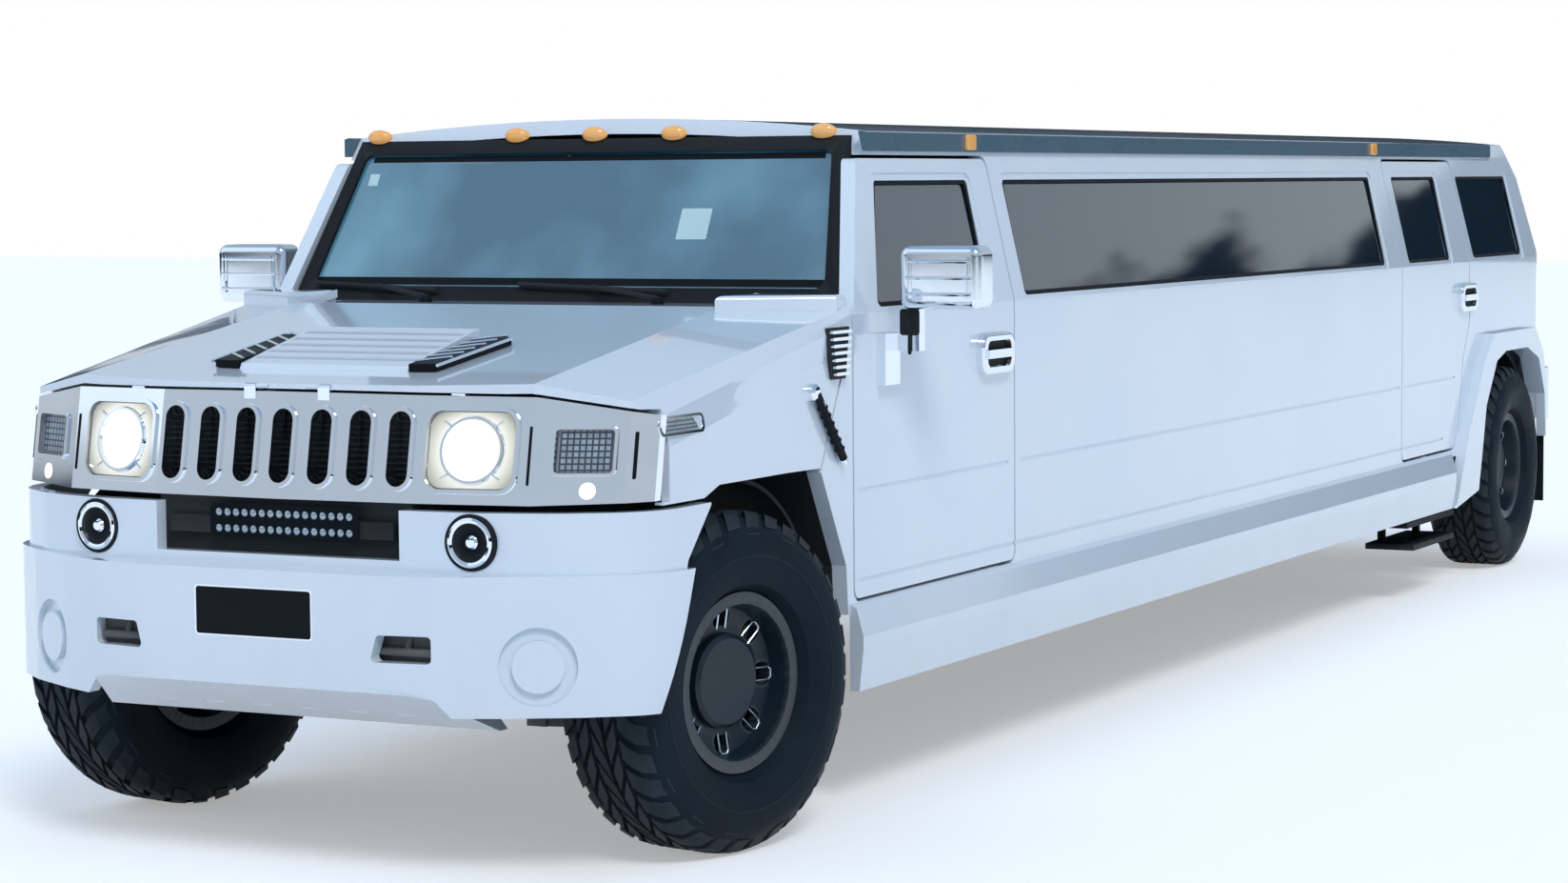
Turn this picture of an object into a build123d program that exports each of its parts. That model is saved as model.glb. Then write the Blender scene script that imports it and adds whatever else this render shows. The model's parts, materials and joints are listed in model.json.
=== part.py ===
"""A stretched four-door off-road limousine, in millimetres.

+Z is up, the vehicle faces -Y and +X is its left side.  The origin lies on the ground
under the middle of the vehicle's length and width.  Lengths along Y are measured from the
front axle (FA) or from the rear axle (RA), so that the wheelbase can change by itself.
The front wheels stand turned to the right by STEER_AT_REST.
"""

import math
import os

from build123d import *

# Overall layout
FRONT_OVERHANG = 842.0
WHEELBASE = 7525.0
REAR_OVERHANG = 790.0
LENGTH = FRONT_OVERHANG + WHEELBASE + REAR_OVERHANG
FA = FRONT_OVERHANG - LENGTH / 2
RA = FA + WHEELBASE
TRACK = 1744.0

# Clearances
SEAT_GAP = 0.3  # between a fixed curved piece and its seat
GLASS_GAP = 0.5  # between a pane and its opening
SHUT_GAP = 10.0  # shut line round a door, the bonnet and the tailgate
RUN_GAP = 0.08  # between a shaft and its bore

# Wheels
TYRE_R = 455.0
TYRE_HALF_W = 157.0
TYRE_WALL = 18.0
TREAD_HALF_W = 118.0
BEAD_R = 216.0
BEAD_X = 104.0
RIM_WALL = 12.0
FLANGE_R = 240.0
HUB_R = 128.0
DISC_IN = 14.0
DISC_OUT = 44.0
HUB_CAP_T = 28.0
SPOKES = 8
SPOKE_W = 64.0
SPINDLE_R = 38.0
SPINDLE_TIP_X = 40.0

# Steering and suspension
STEER_AT_REST = -12.0
KINGPIN_X = 812.0
KINGPIN_R = 13.0
UPRIGHT_T = 70.0
ARM_Z = 125.0
ARM_T = 28.0
AXLE_Z = TYRE_R
AXLE_TUBE_R = 45.0

# Frame
RAIL_X = 430.0  # outer face of a rail
RAIL_W = 80.0
RAIL_BOTTOM = 505.0
RAIL_TOP = 620.0
FLOOR_T = 30.0
FLOOR_TOP = RAIL_TOP + FLOOR_T

# Cabin section
SIDE_X = 985.0
SIDE_BOTTOM = 560.0
BELT_Z = 1400.0
RAIL_LINE_X = 882.0
RAIL_LINE_Z = 1857.0
ROOF_EDGE_X = 868.0
ROOF_EDGE_Z = 1915.0
ROOF_CROWN_Z = 1962.0
SKIN = 45.0

# Windscreen and cowl, from the front axle
ARCH_REAR = 600.0
COWL_FRONT = 615.0
COWL_TOP_FRONT = 412.0
SCREEN_BASE = 690.0
SCREEN_BASE_Z = 1425.0
SCREEN_RAKE = 0.51  # run for each unit of rise
SCREEN_FRAME_T = 50.0
PILLAR_LEAD = 35.0

# Doors and windows
SILL_Z = 600.0
DOOR_TOP = 1836.0
WINDOW_BOTTOM = 1414.0
WINDOW_TOP = 1772.0
DOOR_FRONT = 655.0
DOOR_REAR = 1795.0
LONG_WINDOW_FRONT = 1905.0
LONG_WINDOW_REAR = -1838.0
REAR_DOOR_FRONT = -1635.0
REAR_DOOR_REAR = -640.0
GLASS_T = 6.0
GLASS_INSET = 14.0
WINDOW_R = 18.0
STEP_W = 22.0  # window surround
STEP_DEEP = 4.0
GROOVE_UPPER = 905.0
GROOVE_LOWER = 650.0
GROOVE_W = 10.0
GROOVE_DEEP = 4.0
DOOR_R = 30.0
HINGE_BACK = 25.0  # hinge axis behind a door's front edge
HINGE_IN = 15.0  # and inside its outer face
HINGE_R = 7.0

# Tailgate, from the rear axle
TAIL_HALF_W = 700.0
TAIL_BOTTOM = 890.0
TAIL_TOP = 1815.0
TAIL_WALL = 625.0
TAIL_HINGE_Y = 380.0
TAIL_HINGE_DOWN = 22.0
TAIL_CORNER = 40.0  # corner radius of the tailgate
TAIL_FRAME_CORNER = 14.0  # sharper in the opening, so the gate's wall swings up clear of it
REAR_CORNER_R = 150.0

# Nose
GRILLE_FRONT = 725.0
GRILLE_CORNER_X = 715.0
GRILLE_CORNER = 659.0
NOSE_END_X = 930.0
NOSE_END = 560.0
FASCIA_T = 45.0
FASCIA_LEAN = 0.18
FASCIA_BOTTOM = 966.0
FASCIA_TOP = 1240.0
FASCIA_END_TOP = 1200.0
SLOTS = 7
SLOT_PITCH = 117.0
SLOT_W = 62.0
SLOT_Z = 1102.0
SLOT_H = 190.0
RIM_PROUD = 7.0
HEADLAMP_X = 548.0
HEADLAMP_W = 240.0
HEADLAMP_H = 196.0
CORNER_LAMP_X = 834.0
CORNER_LAMP_W = 136.0
CORNER_LAMP_H = 108.0

# Bonnet
BONNET_T = 24.0
SHOULDER_R = 32.0
BONNET_BOTTOM = 960.0
BONNET_REAR = 400.0
BONNET_CORNER_X = 705.0
BONNET_AXIS = 670.0  # tilt axis ahead of the front axle
BONNET_AXIS_Z = 1253.0
BARREL_R = 6.0
BARREL_PIN_R = 3.0
BARREL_X = 60.0
BARREL_W = 36.0
BONNET_LIFT = 7.0  # bonnet above the chrome face
PAD_TOP = 1458.0
PAD_FRONT = 351.0
COWL_T = 33.0

# Bumpers
BUMPER_T = 40.0
BUMPER_R = 200.0  # between the flats of its plan
BUMPER_TOP = 950.0
BUMPER_STEP = 795.0
BUMPER_BOTTOM = 440.0
LEDGE_T = 20.0
FOG_X = 581.0
FOG_Z = 875.0
FOG_R = 62.0
DISH_Z = 568.0
DISH_R = 100.0
DISH_DEEP = 14.0
DISH_PLUG_R = 66.0
SKID_TOP = 528.0
SCOOPS = 6
RECESS_X = 377.0
RECESS_BOTTOM = 822.0
REAR_BUMPER_TOP = 873.0
REAR_BUMPER_BOTTOM = 632.0

# Arches
ARCH_TOP = 988.0
LINER_R = 524.0
LINER_T = 12.0
REAR_LINER_IN = TRACK / 2 - TYRE_HALF_W - 25.0

# Sills
SKIRT_OUT = 1028.0
SKIRT_TOP = 590.0
SKIRT_BOTTOM = 345.0

made = []


def save(part, label):
    """Names a finished piece and keeps it for export."""
    part.label = label
    made.append(part)
    return part


def block(x0, x1, y0, y1, z0, z1, mode=Mode.ADD):
    """An upright box between two corners."""
    with Locations(((x0 + x1) / 2, (y0 + y1) / 2, (z0 + z1) / 2)):
        Box(abs(x1 - x0), abs(y1 - y0), abs(z1 - z0), mode=mode)


def other_side(part, label):
    """The same piece on the right side."""
    with BuildPart() as twin:
        add(mirror(part, about=Plane.YZ, mode=Mode.PRIVATE))
    return save(twin.part, label)


def side_prism(points, radius=0.0, grow=0.0, x0=600.0, x1=1200.0):
    """A prism across the left side, from an outline of (y, z) points."""
    with BuildPart() as prism:
        with BuildSketch(Plane.YZ.offset(x0)) as outline:
            with BuildLine():
                Polyline(*points, close=True)
            make_face()
            if radius:
                fillet(outline.vertices(), radius)
            if grow:
                offset(amount=grow, kind=Kind.INTERSECTION)
        extrude(amount=x1 - x0)
    return prism.part


def front_prism(points, y0, y1, radius=0.0, grow=0.0):
    """A prism along Y, from an outline of (x, z) points."""
    with BuildPart() as prism:
        with BuildSketch(Plane.XZ.offset(-y0)) as outline:
            with BuildLine():
                Polyline(*points, close=True)
            make_face()
            if radius:
                fillet(outline.vertices(), radius)
            if grow:
                offset(amount=grow, kind=Kind.INTERSECTION)
        extrude(amount=y0 - y1)
    return prism.part


def both_sides(points):
    """A left half outline closed by its own mirror image."""
    return list(points) + [(-x, z) for x, z in reversed(points) if x]


def screen_y(z):
    """The windscreen's outer face at height z."""
    return FA + SCREEN_BASE + SCREEN_RAKE * (z - SCREEN_BASE_Z)


TILT = (SIDE_X - RAIL_LINE_X) / (RAIL_LINE_Z - BELT_Z)
SKIN_ACROSS = SKIN * math.hypot(1, TILT)


def inner_x(z):
    """The inner face of the side skin at height z."""
    return SIDE_X - SKIN_ACROSS - TILT * max(z - BELT_Z, 0)


ROOF_CUT_Z = ROOF_CROWN_Z + 40
PROFILE = [
    (FA + ARCH_REAR + 12, SIDE_BOTTOM),
    (FA + ARCH_REAR, 700),
    (FA + 446, 972),
    (FA + 606, 1275),
    (FA + COWL_FRONT, 1392),
    (screen_y(SCREEN_BASE_Z) - PILLAR_LEAD, SCREEN_BASE_Z),
    (screen_y(ROOF_CUT_Z) - PILLAR_LEAD, ROOF_CUT_Z),
    (RA + 140, ROOF_CUT_Z),
    (RA + 300, 1895),
    (RA + 430, 1760),
    (RA + 600, 1060),
    (RA + TAIL_WALL, 960),
    (RA + TAIL_WALL, SIDE_BOTTOM),
]


def cabin_form(inset):
    """The cabin's outer form, drawn in by inset all round, and open below where drawn in."""
    with BuildPart() as form:
        with BuildSketch(Plane.XZ):
            with BuildLine():
                Polyline(
                    (ROOF_EDGE_X, ROOF_EDGE_Z),
                    (RAIL_LINE_X, RAIL_LINE_Z),
                    (SIDE_X, BELT_Z),
                    (SIDE_X, SIDE_BOTTOM),
                    (-SIDE_X, SIDE_BOTTOM),
                    (-SIDE_X, BELT_Z),
                    (-RAIL_LINE_X, RAIL_LINE_Z),
                    (-ROOF_EDGE_X, ROOF_EDGE_Z),
                )
                ThreePointArc((-ROOF_EDGE_X, ROOF_EDGE_Z), (0, ROOF_CROWN_Z), (ROOF_EDGE_X, ROOF_EDGE_Z))
            make_face()
            if inset:
                offset(amount=-inset, kind=Kind.INTERSECTION)
                with Locations((0, SIDE_BOTTOM)):
                    Rectangle(2 * (SIDE_X - inset), 4 * SKIN)
        extrude(amount=LENGTH, both=True)
        with BuildSketch(Plane.YZ):
            with BuildLine():
                Polyline(*PROFILE, close=True)
            make_face()
            if inset:
                offset(amount=-inset, kind=Kind.INTERSECTION)
                front, rear = PROFILE[0][0] + inset, PROFILE[-1][0] - inset
                with Locations(((front + rear) / 2, SIDE_BOTTOM)):
                    Rectangle(rear - front, 4 * SKIN)
        extrude(amount=2 * SIDE_X, both=True, mode=Mode.INTERSECT)
        plan_rear = RA + TAIL_WALL - inset
        with BuildSketch(Plane.XY) as plan:
            with Locations((0, plan_rear - LENGTH / 2)):
                Rectangle(2 * (SIDE_X - inset), LENGTH)
            fillet(plan.vertices().group_by(Axis.Y)[-1], REAR_CORNER_R - inset)
        extrude(amount=2 * ROOF_CUT_Z, mode=Mode.INTERSECT)
    return form.part


def skin(inset, thickness):
    """A hollow layer of the cabin's form."""
    with BuildPart() as layer:
        add(cabin_form(inset))
        add(cabin_form(inset + thickness), mode=Mode.SUBTRACT)
    return layer.part


shell = skin(0, SKIN)
glazing = skin(GLASS_INSET, GLASS_T)

# Outlines on the side, as (y, z)
FRONT_DOOR = [
    (FA + DOOR_FRONT, SILL_Z),
    (FA + DOOR_FRONT, BELT_Z - 5),
    (FA + 880, DOOR_TOP),
    (FA + DOOR_REAR, DOOR_TOP),
    (FA + DOOR_REAR, SILL_Z),
]
REAR_DOOR = [
    (RA + REAR_DOOR_FRONT, SILL_Z),
    (RA + REAR_DOOR_FRONT, DOOR_TOP),
    (RA + REAR_DOOR_REAR, DOOR_TOP),
    (RA + REAR_DOOR_REAR, 1130),
    (RA - 735, 985),
    (RA - 800, 700),
    (RA - 880, SILL_Z),
]
WINDOWS = {
    "front_door": [
        (FA + 829, WINDOW_BOTTOM),
        (FA + 975, WINDOW_TOP),
        (FA + 1635, WINDOW_TOP),
        (FA + 1635, WINDOW_BOTTOM),
    ],
    "long": [
        (FA + LONG_WINDOW_FRONT, WINDOW_BOTTOM),
        (FA + LONG_WINDOW_FRONT, WINDOW_TOP),
        (RA + LONG_WINDOW_REAR, WINDOW_TOP),
        (RA + LONG_WINDOW_REAR, WINDOW_BOTTOM),
    ],
    "rear_door": [
        (RA - 1520, WINDOW_BOTTOM),
        (RA - 1530, WINDOW_TOP),
        (RA - 905, WINDOW_TOP),
        (RA - 905, WINDOW_BOTTOM),
    ],
    "quarter": [
        (RA - 545, WINDOW_BOTTOM),
        (RA - 580, WINDOW_TOP),
        (RA + 225, WINDOW_TOP),
        (RA + 262, WINDOW_BOTTOM),
    ],
}
REAR_ARCH = [
    (RA - 640, SKIRT_BOTTOM - 20),
    (RA - 560, 560),
    (RA - 500, 760),
    (RA - 330, 950),
    (RA - 180, ARCH_TOP),
    (RA + 190, ARCH_TOP),
    (RA + 390, 930),
    (RA + 500, 760),
    (RA + 540, SKIRT_BOTTOM - 20),
]
TAIL_JOIN = RA + 240


def dressed_shell():
    """The shell with window surrounds stepped in and two grooves along each flank."""
    with BuildPart() as dressed:
        add(shell)
        with BuildPart(mode=Mode.PRIVATE) as surrounds:
            for outline in WINDOWS.values():
                add(side_prism(outline, WINDOW_R, STEP_W))
            mirror(about=Plane.YZ)
            add(skin(0, STEP_DEEP), mode=Mode.INTERSECT)
        add(surrounds.part, mode=Mode.SUBTRACT)
        for sign in (-1, 1):
            for y0, y1, z in (
                (FA + 690, FA + 1750, GROOVE_UPPER),
                (FA + 1850, RA + REAR_DOOR_FRONT - 40, GROOVE_UPPER),
                (RA + REAR_DOOR_FRONT + 40, RA - 860, GROOVE_UPPER),
                (FA + 690, RA + REAR_DOOR_FRONT + 600, GROOVE_LOWER),
            ):
                block(sign * (SIDE_X - GROOVE_DEEP), sign * (SIDE_X + 20), y0, y1, z - GROOVE_W / 2,
                      z + GROOVE_W / 2, mode=Mode.SUBTRACT)
    return dressed.part


shell = dressed_shell()


def screen_slab(drop, thickness):
    """A raked slab across the front of the cabin, its outer face drop behind the windscreen's."""
    low, high = SCREEN_BASE_Z, ROOF_CUT_Z
    return side_prism(
        [
            (screen_y(low) + drop, low),
            (screen_y(high) + drop, high),
            (screen_y(high) + drop + thickness, high),
            (screen_y(low) + drop + thickness, low),
        ],
        x0=-1200,
    )


def hinge_pin(door_front, radius, top):
    """A door's vertical hinge pin, standing on the sill."""
    with BuildPart() as pin:
        with Locations((SIDE_X - HINGE_IN, door_front + HINGE_BACK, SILL_Z - SHUT_GAP)):
            Cylinder(radius, top + SHUT_GAP, align=(Align.CENTER, Align.CENTER, Align.MIN))
    return pin.part


def make_body():
    """Fixed panels of the cabin: sides, roof, windscreen frame, cowl and rear frame."""
    with BuildPart() as side:
        add(shell)
        block(inner_x(RAIL_LINE_Z) - 2, 1200, FA, TAIL_JOIN, SIDE_BOTTOM - 10, RAIL_LINE_Z,
              mode=Mode.INTERSECT)
        add(screen_slab(-300, 300 + SCREEN_FRAME_T), mode=Mode.SUBTRACT)
        block(0, SIDE_X - SKIN, FA, FA + 760, 0, SCREEN_BASE_Z + 60, mode=Mode.SUBTRACT)
        add(side_prism(FRONT_DOOR, DOOR_R, SHUT_GAP), mode=Mode.SUBTRACT)
        add(side_prism(REAR_DOOR, DOOR_R, SHUT_GAP), mode=Mode.SUBTRACT)
        add(side_prism(WINDOWS["long"], WINDOW_R), mode=Mode.SUBTRACT)
        add(side_prism(REAR_ARCH), mode=Mode.SUBTRACT)
        add(side_prism(WINDOWS["quarter"], WINDOW_R), mode=Mode.SUBTRACT)
        add(hinge_pin(FA + DOOR_FRONT, HINGE_R, 50))
        add(hinge_pin(RA + REAR_DOOR_FRONT, HINGE_R, 50))
    save(side.part, "side_panel_left")
    other_side(side.part, "side_panel_right")

    with BuildPart() as roof:
        add(shell)
        block(-1200, 1200, FA, TAIL_JOIN, RAIL_LINE_Z, ROOF_CUT_Z, mode=Mode.INTERSECT)
        add(screen_slab(-300, 300 + SCREEN_FRAME_T), mode=Mode.SUBTRACT)
    save(roof.part, "roof")

    top = ROOF_EDGE_Z - 12
    frame_edge = both_sides(
        [(x - SHUT_GAP, z) for x, z in ((inner_x(SCREEN_BASE_Z), SCREEN_BASE_Z), (inner_x(RAIL_LINE_Z), top))]
    )
    with BuildPart() as screen_frame:
        add(screen_slab(0, SCREEN_FRAME_T))
        add(front_prism(frame_edge, FA, FA + 1500), mode=Mode.INTERSECT)
        add(front_prism(SCREEN, FA, FA + 1500, 30), mode=Mode.SUBTRACT)
    save(screen_frame.part, "windscreen_frame")

    with BuildPart() as cowl:
        with BuildSketch(Plane.YZ.offset(-(SIDE_X - SKIN))):
            with BuildLine():
                Polyline(
                    (FA + COWL_FRONT, 1392),
                    (FA + 606, 1275),
                    (FA + 446, 972),
                    (FA + ARCH_REAR, 700),
                    (FA + ARCH_REAR, RAIL_TOP),
                    (FA + ARCH_REAR + SKIN, RAIL_TOP),
                    (FA + ARCH_REAR + SKIN, 712),
                    (FA + 500, 975),
                    (FA + 652, 1262),
                    (FA + 662, SCREEN_BASE_Z - COWL_T),
                    close=True,
                )
            make_face()
        extrude(amount=2 * (SIDE_X - SKIN))
        side = SIDE_X - SKIN - SHUT_GAP
        for sign in (-1, 1):
            block(sign * side, sign * 1000, FA + 640, FA + 800, 500, 1500, mode=Mode.SUBTRACT)
    save(cowl.part, "cowl_and_bulkhead")

    with BuildPart() as panel:
        with BuildSketch(Plane.XY.offset(SCREEN_BASE_Z - COWL_T)):
            corner = BONNET_CORNER_X - SHUT_GAP
            with BuildLine():
                Polyline(*both_sides([(corner, FA + COWL_TOP_FRONT), (corner, FA + COWL_FRONT + 4),
                                      (SIDE_X - SKIN, FA + COWL_FRONT + 4), (SIDE_X - SKIN, FA + 640),
                                      (side, FA + 640), (side, FA + 740)]), close=True)
            make_face()
        extrude(amount=COWL_T)
        chamfer(panel.edges().filter_by(Axis.X).group_by(Axis.Z)[-1].sort_by(Axis.Y)[0], 6)
    save(panel.part, "cowl_panel")

    with BuildPart() as rear:
        add(shell)
        block(-1200, 1200, TAIL_JOIN, RA + 900, SIDE_BOTTOM - 10, ROOF_CUT_Z, mode=Mode.INTERSECT)
        add(tail_opening(TAIL_FRAME_CORNER, SHUT_GAP), mode=Mode.SUBTRACT)
        block(-900, 900, TAIL_JOIN, RA + 900, 0, RAIL_TOP, mode=Mode.SUBTRACT)
        add(tail_pins(HINGE_R + RUN_GAP, 0), mode=Mode.SUBTRACT)
        for x0, x1 in ((600, 1200), (-1200, -600)):
            add(side_prism(WINDOWS["quarter"], WINDOW_R, x0=x0, x1=x1), mode=Mode.SUBTRACT)
            add(side_prism(REAR_ARCH, x0=x0, x1=x1), mode=Mode.SUBTRACT)
    save(rear.part, "rear_frame")
    save(tail_pins(HINGE_R, 0), "tailgate_pins")


SCREEN = [(868, SCREEN_BASE_Z + 42), (796, 1862), (-796, 1862), (-868, SCREEN_BASE_Z + 42)]


def tail_opening(corner, grow=0.0):
    """A prism through the rear wall where the tailgate sits."""
    edge = both_sides([(TAIL_HALF_W, TAIL_BOTTOM), (TAIL_HALF_W - 40, TAIL_TOP)])
    return front_prism(edge, RA + 250, RA + 900, corner, grow)


def tail_pins(radius, deeper):
    """The tailgate's two hinge pins, set in the frame at the upper corners of its opening."""
    inner, outer = TAIL_HALF_W - 80 - deeper, TAIL_HALF_W - 15
    y, z = RA + TAIL_HINGE_Y, TAIL_TOP - TAIL_HINGE_DOWN
    with BuildPart() as pins:
        for sign in (-1, 1):
            with Locations(Location((sign * (inner + outer) / 2, y, z), (0, 90, 0))):
                Cylinder(radius, outer - inner)
    return pins.part


def make_tailgate():
    """The top-hinged tailgate and its pane."""
    window = both_sides([(590, 1330), (560, 1735)])
    with BuildPart() as gate:
        add(shell)
        add(tail_opening(TAIL_CORNER), mode=Mode.INTERSECT)
        add(front_prism(window, RA + 250, RA + 900, 40), mode=Mode.SUBTRACT)
        add(tail_pins(HINGE_R + RUN_GAP, 4), mode=Mode.SUBTRACT)
    save(gate.part, "tailgate")
    with BuildPart() as pane:
        add(glazing)
        add(front_prism(window, RA + 250, RA + 900, 40, -GLASS_GAP), mode=Mode.INTERSECT)
    save(pane.part, "tailgate_glass")


def make_fixed_glass():
    """The windscreen, the long side panes and the quarter panes."""
    with BuildPart() as panes:
        for name in ("long", "quarter"):
            with BuildPart(mode=Mode.PRIVATE) as pane:
                add(glazing)
                add(side_prism(WINDOWS[name], WINDOW_R, -GLASS_GAP), mode=Mode.INTERSECT)
            add(pane.part)
        mirror(about=Plane.YZ)
        with BuildPart(mode=Mode.PRIVATE) as screen:
            add(screen_slab(GLASS_INSET, GLASS_T))
            add(front_prism(SCREEN, FA, FA + 1500, 30, -GLASS_GAP), mode=Mode.INTERSECT)
        add(screen.part)
    save(panes.part, "fixed_glass")


def make_door(outline, window, label, handle_y, mirror_on):
    """A door cut from the same skin as the side, with its pane and its fittings."""
    with BuildPart() as door:
        add(shell)
        block(inner_x(RAIL_LINE_Z) - 2, 1200, FA + 300, RA, 0, RAIL_LINE_Z, mode=Mode.INTERSECT)
        add(side_prism(outline, DOOR_R), mode=Mode.INTERSECT)
        with BuildSketch(Plane.XZ.offset(-FA)):
            with BuildLine():
                Polyline(
                    (inner_x(BELT_Z), SILL_Z - 100),
                    (inner_x(BELT_Z), BELT_Z),
                    (inner_x(1900), 1900),
                    (0, 1900),
                    (0, SILL_Z - 100),
                    close=True,
                )
            make_face()
        extrude(amount=-WHEELBASE, mode=Mode.SUBTRACT)
        add(side_prism(window, WINDOW_R), mode=Mode.SUBTRACT)
        add(hinge_pin(outline[0][0], HINGE_R + RUN_GAP, 54), mode=Mode.SUBTRACT)
    save(door.part, f"{label}_left")
    other_side(door.part, f"{label}_right")
    with BuildPart() as pane:
        add(glazing)
        add(side_prism(window, WINDOW_R, -GLASS_GAP), mode=Mode.INTERSECT)
    save(pane.part, f"{label}_glass_left")
    other_side(pane.part, f"{label}_glass_right")
    with BuildPart() as fittings:
        with BuildSketch(Plane.YZ.offset(SIDE_X)):
            with Locations((handle_y, HANDLE_Z)):
                RectangleRounded(HANDLE_W, HANDLE_H, 40)
        extrude(amount=HANDLE_T)
        fillet(fittings.faces().sort_by(Axis.X)[-1].edges(), 8)
        with BuildSketch(Plane.YZ.offset(SIDE_X + HANDLE_T)):
            with Locations((handle_y, HANDLE_Z)):
                RectangleRounded(HANDLE_W - 60, HANDLE_H - 44, 24)
        extrude(amount=-(HANDLE_T - 6), mode=Mode.SUBTRACT)
        with BuildSketch(Plane.YZ.offset(SIDE_X + HANDLE_T - 2)):
            with Locations((handle_y, HANDLE_Z)):
                Rectangle(HANDLE_W - 50, 26)
        extrude(amount=10)
        if mirror_on:
            block(SIDE_X, SIDE_X + 30, FA + 800, FA + 900, 1193, 1340)
            block(SIDE_X + 30, 1101, FA + 842, FA + 882, 1290, 1340)
            block(1045, 1101, FA + 842, FA + 882, 1340, 1408)
            with BuildSketch(Plane.XZ.offset(-(FA + 815))):
                with Locations(((MIRROR_IN + MIRROR_OUT) / 2, (MIRROR_BOTTOM + MIRROR_TOP) / 2)):
                    RectangleRounded(MIRROR_OUT - MIRROR_IN, MIRROR_TOP - MIRROR_BOTTOM, 30)
            extrude(amount=-MIRROR_DEPTH)
            head = fittings.faces().filter_by(Axis.Y).sort_by(Axis.Y)
            front = [f for f in head if f.center().X > MIRROR_IN + 60 and f.center().Z > MIRROR_BOTTOM][0]
            fillet(front.edges(), 24)
    save(fittings.part, f"{label}_fittings_left")
    other_side(fittings.part, f"{label}_fittings_right")


HANDLE_W = 240.0
HANDLE_H = 124.0
HANDLE_T = 26.0
HANDLE_Z = 1246.0
MIRROR_IN = 1049.0
MIRROR_OUT = 1300.0
MIRROR_BOTTOM = 1408.0
MIRROR_TOP = 1588.0
MIRROR_DEPTH = 90.0

NOSE = [(0, FA - GRILLE_FRONT), (400, FA - 708), (GRILLE_CORNER_X, FA - GRILLE_CORNER),
        (NOSE_END_X, FA - NOSE_END), (SIDE_X, FA - 500), (SIDE_X, FA - 470)]


def fascia_band(proud, thickness):
    """A layer that follows the chrome face of the nose; proud moves its front outward."""
    with BuildPart() as band:
        with BuildSketch(Plane.XY.offset(FASCIA_BOTTOM)) as plan:
            with BuildLine():
                Polyline(*both_sides(NOSE), close=True)
            make_face()
            if proud:
                offset(amount=proud, kind=Kind.INTERSECTION)
        extrude(amount=300 * math.hypot(1, FASCIA_LEAN), dir=(0, FASCIA_LEAN, 1))
        with BuildSketch(Plane.XY.offset(FASCIA_BOTTOM)) as plan:
            with BuildLine():
                Polyline(*both_sides(NOSE + [(SIDE_X, FA - 300)]), close=True)
            make_face()
            offset(amount=proud - thickness, kind=Kind.INTERSECTION)
        extrude(amount=300 * math.hypot(1, FASCIA_LEAN), dir=(0, FASCIA_LEAN, 1), mode=Mode.SUBTRACT)
    return band.part


def fascia_face(grow=0.0):
    """The front view outline of the nose's chrome face."""
    edge = both_sides(
        [(0, FASCIA_TOP), (GRILLE_CORNER_X, FASCIA_TOP - 4), (NOSE_END_X, FASCIA_END_TOP),
         (SIDE_X, FASCIA_END_TOP - 12), (SIDE_X, FASCIA_BOTTOM + 8), (GRILLE_CORNER_X, FASCIA_BOTTOM),
         (0, FASCIA_BOTTOM)]
    )
    return front_prism(edge, FA - 900, FA - 300, 0, grow)


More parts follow.
